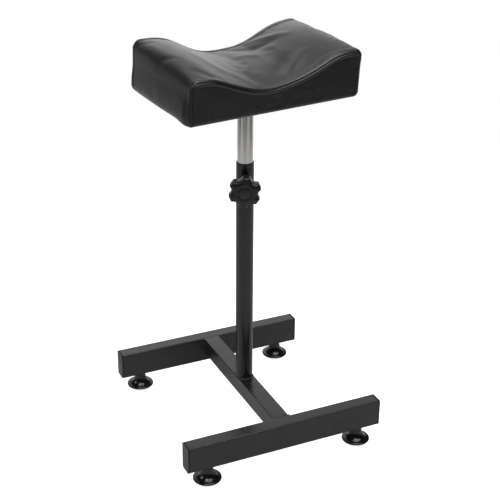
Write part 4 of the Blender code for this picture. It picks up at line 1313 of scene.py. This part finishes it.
def carryOver(coarse, fine, change, panels, finePanels):
    # Takes the coarse grid's moves over to the fine one, by place along the loop and across the pad
    rows, loopCount = coarse.shape[:2]
    fineRowCount, fineLoop = fine.shape[:2]
    field = change[:rows * loopCount].reshape(rows, loopCount, 3)
    spans = surfaceSpan(coarse, coarseCounts[0] // 2)
    fineSpans = surfaceSpan(fine, fineCounts[0] // 2)
    spans -= spans[-1] / 2
    fineSpans -= fineSpans[-1] / 2
    spans *= fineSpans[-1] / max(spans[-1], fineSpans[-1])
    around = np.empty((rows, fineLoop, 3))
    scale = fineCounts[0] // coarseCounts[0]
    for i in range(fineLoop):
        low, part = divmod(i, scale)
        before, after = field[:, low % loopCount], field[:, (low + 1) % loopCount]
        around[:, i] = (1 - part / scale) * before + part / scale * after
    across = np.empty((fineRowCount, fineLoop, 3))
    for i in range(fineLoop):
        for axis in range(3):
            across[:, i, axis] = np.interp(fineSpans, spans, around[:, i, axis])
    result = [across.reshape(-1, 3)]
    for index, fineIndex in zip(panels, finePanels):
        field = change[index]
        a = np.arange(fineIndex.shape[0]) / scale
        b = np.arange(fineIndex.shape[1]) / scale
        low = np.minimum(a.astype(int), index.shape[0] - 2)
        left = np.minimum(b.astype(int), index.shape[1] - 2)
        p, q = (a - low)[:, None, None], (b - left)[None, :, None]
        grid = ((1 - p) * (1 - q) * field[low][:, left] + (1 - p) * q * field[low][:, left + 1]
                + p * (1 - q) * field[low + 1][:, left] + p * q * field[low + 1][:, left + 1])
        result.append(grid[1:-1, 1:-1].reshape(-1, 3))
    return np.concatenate(result)


# Folds that the stretched cover shows, as crest lines over the top: points, height and half width
folds = (
    {"line": ((-0.092, 0.030), (-0.084, -0.010), (-0.078, -0.034), (-0.064, -0.049), (-0.046, -0.060),
              (-0.033, -0.074), (-0.026, -0.088)), "height": 0.0013, "width": 0.0105},
    {"line": ((-0.062, 0.035), (-0.056, -0.005), (-0.046, -0.032), (-0.030, -0.055), (-0.018, -0.080)),
     "height": -0.0009, "width": 0.0105},
    {"line": ((-0.026, 0.060), (-0.020, 0.001), (-0.014, -0.027), (-0.008, -0.055), (-0.004, -0.080)),
     "height": 0.0014, "width": 0.0105},
    {"line": ((0.000, 0.090), (0.013, 0.077), (0.032, 0.058), (0.055, 0.042), (0.078, 0.030)),
     "height": -0.0024, "width": 0.0085},
    {"line": ((0.036, 0.094), (0.059, 0.077), (0.072, 0.061), (0.086, 0.046), (0.098, 0.026)),
     "height": 0.0019, "width": 0.0080},
    {"line": ((0.085, -0.036), (0.070, -0.050), (0.046, -0.067), (0.023, -0.086)),
     "height": 0.0017, "width": 0.0090},
    {"line": ((0.060, -0.020), (0.040, -0.045), (0.015, -0.070)), "height": -0.0014, "width": 0.0095},
    {"line": ((-0.006, 0.030), (0.015, 0.029), (0.037, 0.003)), "height": 0.0012, "width": 0.0090},
    {"line": ((-0.128, -0.060), (-0.112, -0.084), (-0.090, -0.092)), "height": -0.0010, "width": 0.0080},
)


def foldHeight(points):
    # The folds' height at points on the top, fading towards each line's ends
    total = np.zeros(len(points))
    for fold in folds:
        line = np.array(fold["line"])
        best, place = np.full(len(points), 1e9), np.zeros(len(points))
        lengths = np.linalg.norm(np.diff(line, axis=0), axis=1)
        run = np.concatenate([[0], np.cumsum(lengths)])
        for k in range(len(line) - 1):
            d = line[k + 1] - line[k]
            t = np.clip(((points[:, :2] - line[k]) @ d) / (d @ d), 0, 1)
            gap = np.linalg.norm(points[:, :2] - (line[k] + t[:, None] * d), axis=1)
            nearer = gap < best
            best = np.where(nearer, gap, best)
            place = np.where(nearer, run[k] + t * lengths[k], place)
        fade = np.sin(np.pi * np.clip(place / run[-1], 0, 1)) ** 0.6
        total += fold["height"] * fade * np.exp(-(best / fold["width"]) ** 2)
    return total


seamSizes = {"band": 0.0010, "rowDepth": 0.00035, "joinDepth": 0.0011, "groove": 0.0008, "roll": 0.0010,
             "rollReach": 0.0066, "endShare": 0.55, "stitchLift": 0.0003, "joinStitch": 0.0009}
# The stitched row's distance from the join, along the pad
rowPlace = smoothLine((-0.150, -0.110, -0.060, -0.020, 0.030, 0.060, 0.098, 0.128, 0.150),
                      (0.0120, 0.0100, 0.0088, 0.0092, 0.0108, 0.0135, 0.0170, 0.0150, 0.0130))


def seamShape(distance, row):
    # Height over the plain form, by the distance from the join: positive towards the top strip
    s = seamSizes
    band = s["band"] * np.sin(np.pi * np.clip(distance / row, 0, 1)) ** 0.7
    join = -s["joinDepth"] * np.exp(-(distance / s["groove"]) ** 2)
    stitched = -s["rowDepth"] * np.exp(-((distance - row) / s["groove"]) ** 2)
    panel = s["roll"] * np.sin(np.pi * np.clip(-distance / s["rollReach"], 0, 1)) ** 2
    return band + join + stitched + panel


def sewnShare(loopCount):
    # How much of the seam's shape each place round the loop has: none along the bottom, less down the ends
    top, roll, face, low = fineCounts
    ends = roll + face + low
    sewn = np.ones(loopCount)
    sewn[top + ends:2 * top + ends + 1] = 0
    fadeSteps = low + 4
    for k in range(fadeSteps):
        for place in (top + ends - k, (loopCount - ends + k) % loopCount):
            sewn[place] = min(sewn[place], k / fadeSteps)
    sewn[top + 4:top + ends] *= seamSizes["endShare"]
    sewn[loopCount - ends:loopCount - 4] *= seamSizes["endShare"]
    return sewn


def onStand(points):
    # Takes points of the pad's own frame to their place on the stand
    return points @ np.array(padPlace.to_3x3()).T + np.array(padPlace.translation)


def stitchPad(surface, distance, rowAt):
    # Stitches follow the row and the join on the finished surface
    halfRows, loopCount = surface.shape[0] // 2, surface.shape[1]
    top, ends = fineCounts[0], sum(fineCounts[1:])
    # They stop short of the low corners, where the cover turns under the board
    keep = [*range(loopCount - ends + 8, loopCount), *range(top + ends - 7)]
    paths = []
    for half in (surface[:halfRows], surface[::-1][:halfRows]):
        for places in (rowAt, np.full(loopCount, seamSizes["joinStitch"])):
            paths.append([[np.interp(places[i], distance[:halfRows], half[:, i, axis]) for axis in range(3)]
                          for i in keep])
    stitches = growOn(pathPiece("padStitches", paths), stitchRow, Pitch=0.0042, Length=0.0023,
                      Thickness=0.0012, Slant=0.12, Finish=finish("blackThread"))
    settle(stitches, "pad_head", "leatherette")


def makePad():
    fine, stations = padGrid(0.0042, fineRows, fineCounts)
    rows, loopCount = fine.shape[:2]
    faces, finePanels = padFaces(rows, loopCount, fineCounts, stations, True)
    points = shaped(padPoints(fine, fineCounts))
    coarse, change, panels = swell()
    points = points + carryOver(coarse, fine, change, panels, finePanels)

    # Distance of each row of the grid from the nearer join
    spans = surfaceSpan(fine, fineCounts[0] // 2)
    join = spans[len(fineRows["rings"]) + fineRows["arc"].index(joinTilt)]
    distance = np.full(rows, 1.0)
    halfRows = rows // 2
    distance[:halfRows] = spans[:halfRows] - join
    distance[rows - halfRows:] = (spans[-1] - join) - spans[rows - halfRows:]

    mesh = bpy.data.meshes.new("padCover")
    mesh.from_pydata(points.tolist(), [], faces)
    faceOutward(mesh)
    normals = np.array([v.normal for v in mesh.vertices])
    if normals[fineCounts[0] // 2 + loopCount * halfRows][2] < 0:
        mesh.flip_normals()
        normals = -normals

    skin = rows * loopCount
    rise = np.zeros(len(points))
    rowAt = rowPlace(fine[0, :, 0])
    rise[:skin] = (seamShape(distance[:, None], rowAt[None, :]) * sewnShare(loopCount)[None, :]).ravel()
    onTop = (normals[:, 2] > 0.4) & (points[:, 2] > 0.03)
    rise += np.where(onTop, foldHeight(points), 0)
    placed = onStand(points + normals * rise[:, None])
    mesh.vertices.foreach_set("co", placed.astype(np.float32).ravel())
    mesh.update()
    mesh.materials.append(finish("blackHide"))
    mesh.shade_smooth()
    cover = addObject("padCover", mesh)
    wall = cover.modifiers.new("wall", "SOLIDIFY")
    wall.thickness, wall.offset = padSizes["wall"], -1.0
    settle(cover, "pad_head", "leatherette", "pad_cover")

    outNormals = normals[:skin] @ np.array(padPlace.to_3x3()).T
    surface = placed[:skin] + seamSizes["stitchLift"] * outNormals
    stitchPad(surface.reshape(rows, loopCount, 3), distance, rowAt)


makePad()


def padFilling():
    # The foam block under the cover, cut to the same saddle
    inset, halfLength, halfWidth = 0.0062, 0.1475, 0.1025
    counts = (60, 5, 12, 3)
    rows = {"rings": (0.003,), "arc": (90, 67, 45, 22, 0), "near": (0.004, 0.010)}
    grid, stations = padGrid(0.009, rows, counts)
    grid[:, :, 0] *= 1 - inset / halfLength
    grid[:, :, 1] *= 1 - inset / halfWidth
    grid[:, :, 2] = np.maximum(grid[:, :, 2] - inset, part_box("pad_foam")[0].z - padBottom)
    faces, _ = padFaces(len(grid), grid.shape[1], counts, stations, False)
    piece = newPiece("padFoam", onStand(padPoints(grid, counts)), faces, "padFoam", 40)
    settle(piece, "pad_head", "foam", "pad_foam")


padFilling()

clothSizes = {"length": 0.275, "width": 0.181, "thickness": 0.00035, "wave": 0.00012, "across": 38,
              "along": 26, "stapleInset": 0.006}


def dustCloth():
    low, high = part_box("dust_cloth")
    length, width, across, along = (clothSizes[key] for key in ("length", "width", "across", "along"))
    middle = (low.z + high.z) / 2
    points = []
    for j in range(along + 1):
        for i in range(across + 1):
            x, y = length * (i / across - 0.5), width * (j / along - 0.5)
            ripple = clothSizes["wave"] * math.sin(x * 140 + 3 * math.sin(y * 45)) * math.cos(y * 95)
            points.append(padFrame @ Vector((x, y, middle + ripple)))
    row = across + 1
    corners = [j * row + i for j in range(along) for i in range(across)]
    faces = [(k, k + row, k + row + 1, k + 1) for k in corners]
    piece = newPiece("dustCloth", points, faces, "dustCloth", 60, outward=False)
    wall = piece.modifiers.new("wall", "SOLIDIFY")
    wall.thickness, wall.offset = clothSizes["thickness"], 0.0
    settle(piece, "pad_head", "black_cloth", "dust_cloth")

    inset = clothSizes["stapleInset"]
    outline = roundedRectangle(length - 2 * inset, width - 2 * inset, inset, 3)
    loop = [padFrame @ Vector((a, b, low.z - 0.0001)) for a, b in outline]
    staples = growOn(pathPiece("clothStaples", [loop], closed=True), stapleRow, Pitch=0.023, Width=0.0105,
                     Wire=0.0009, Finish=finish("stapleSteel"))
    settle(staples, "pad_head", "zinc_steel")


dustCloth()
print("pad made")
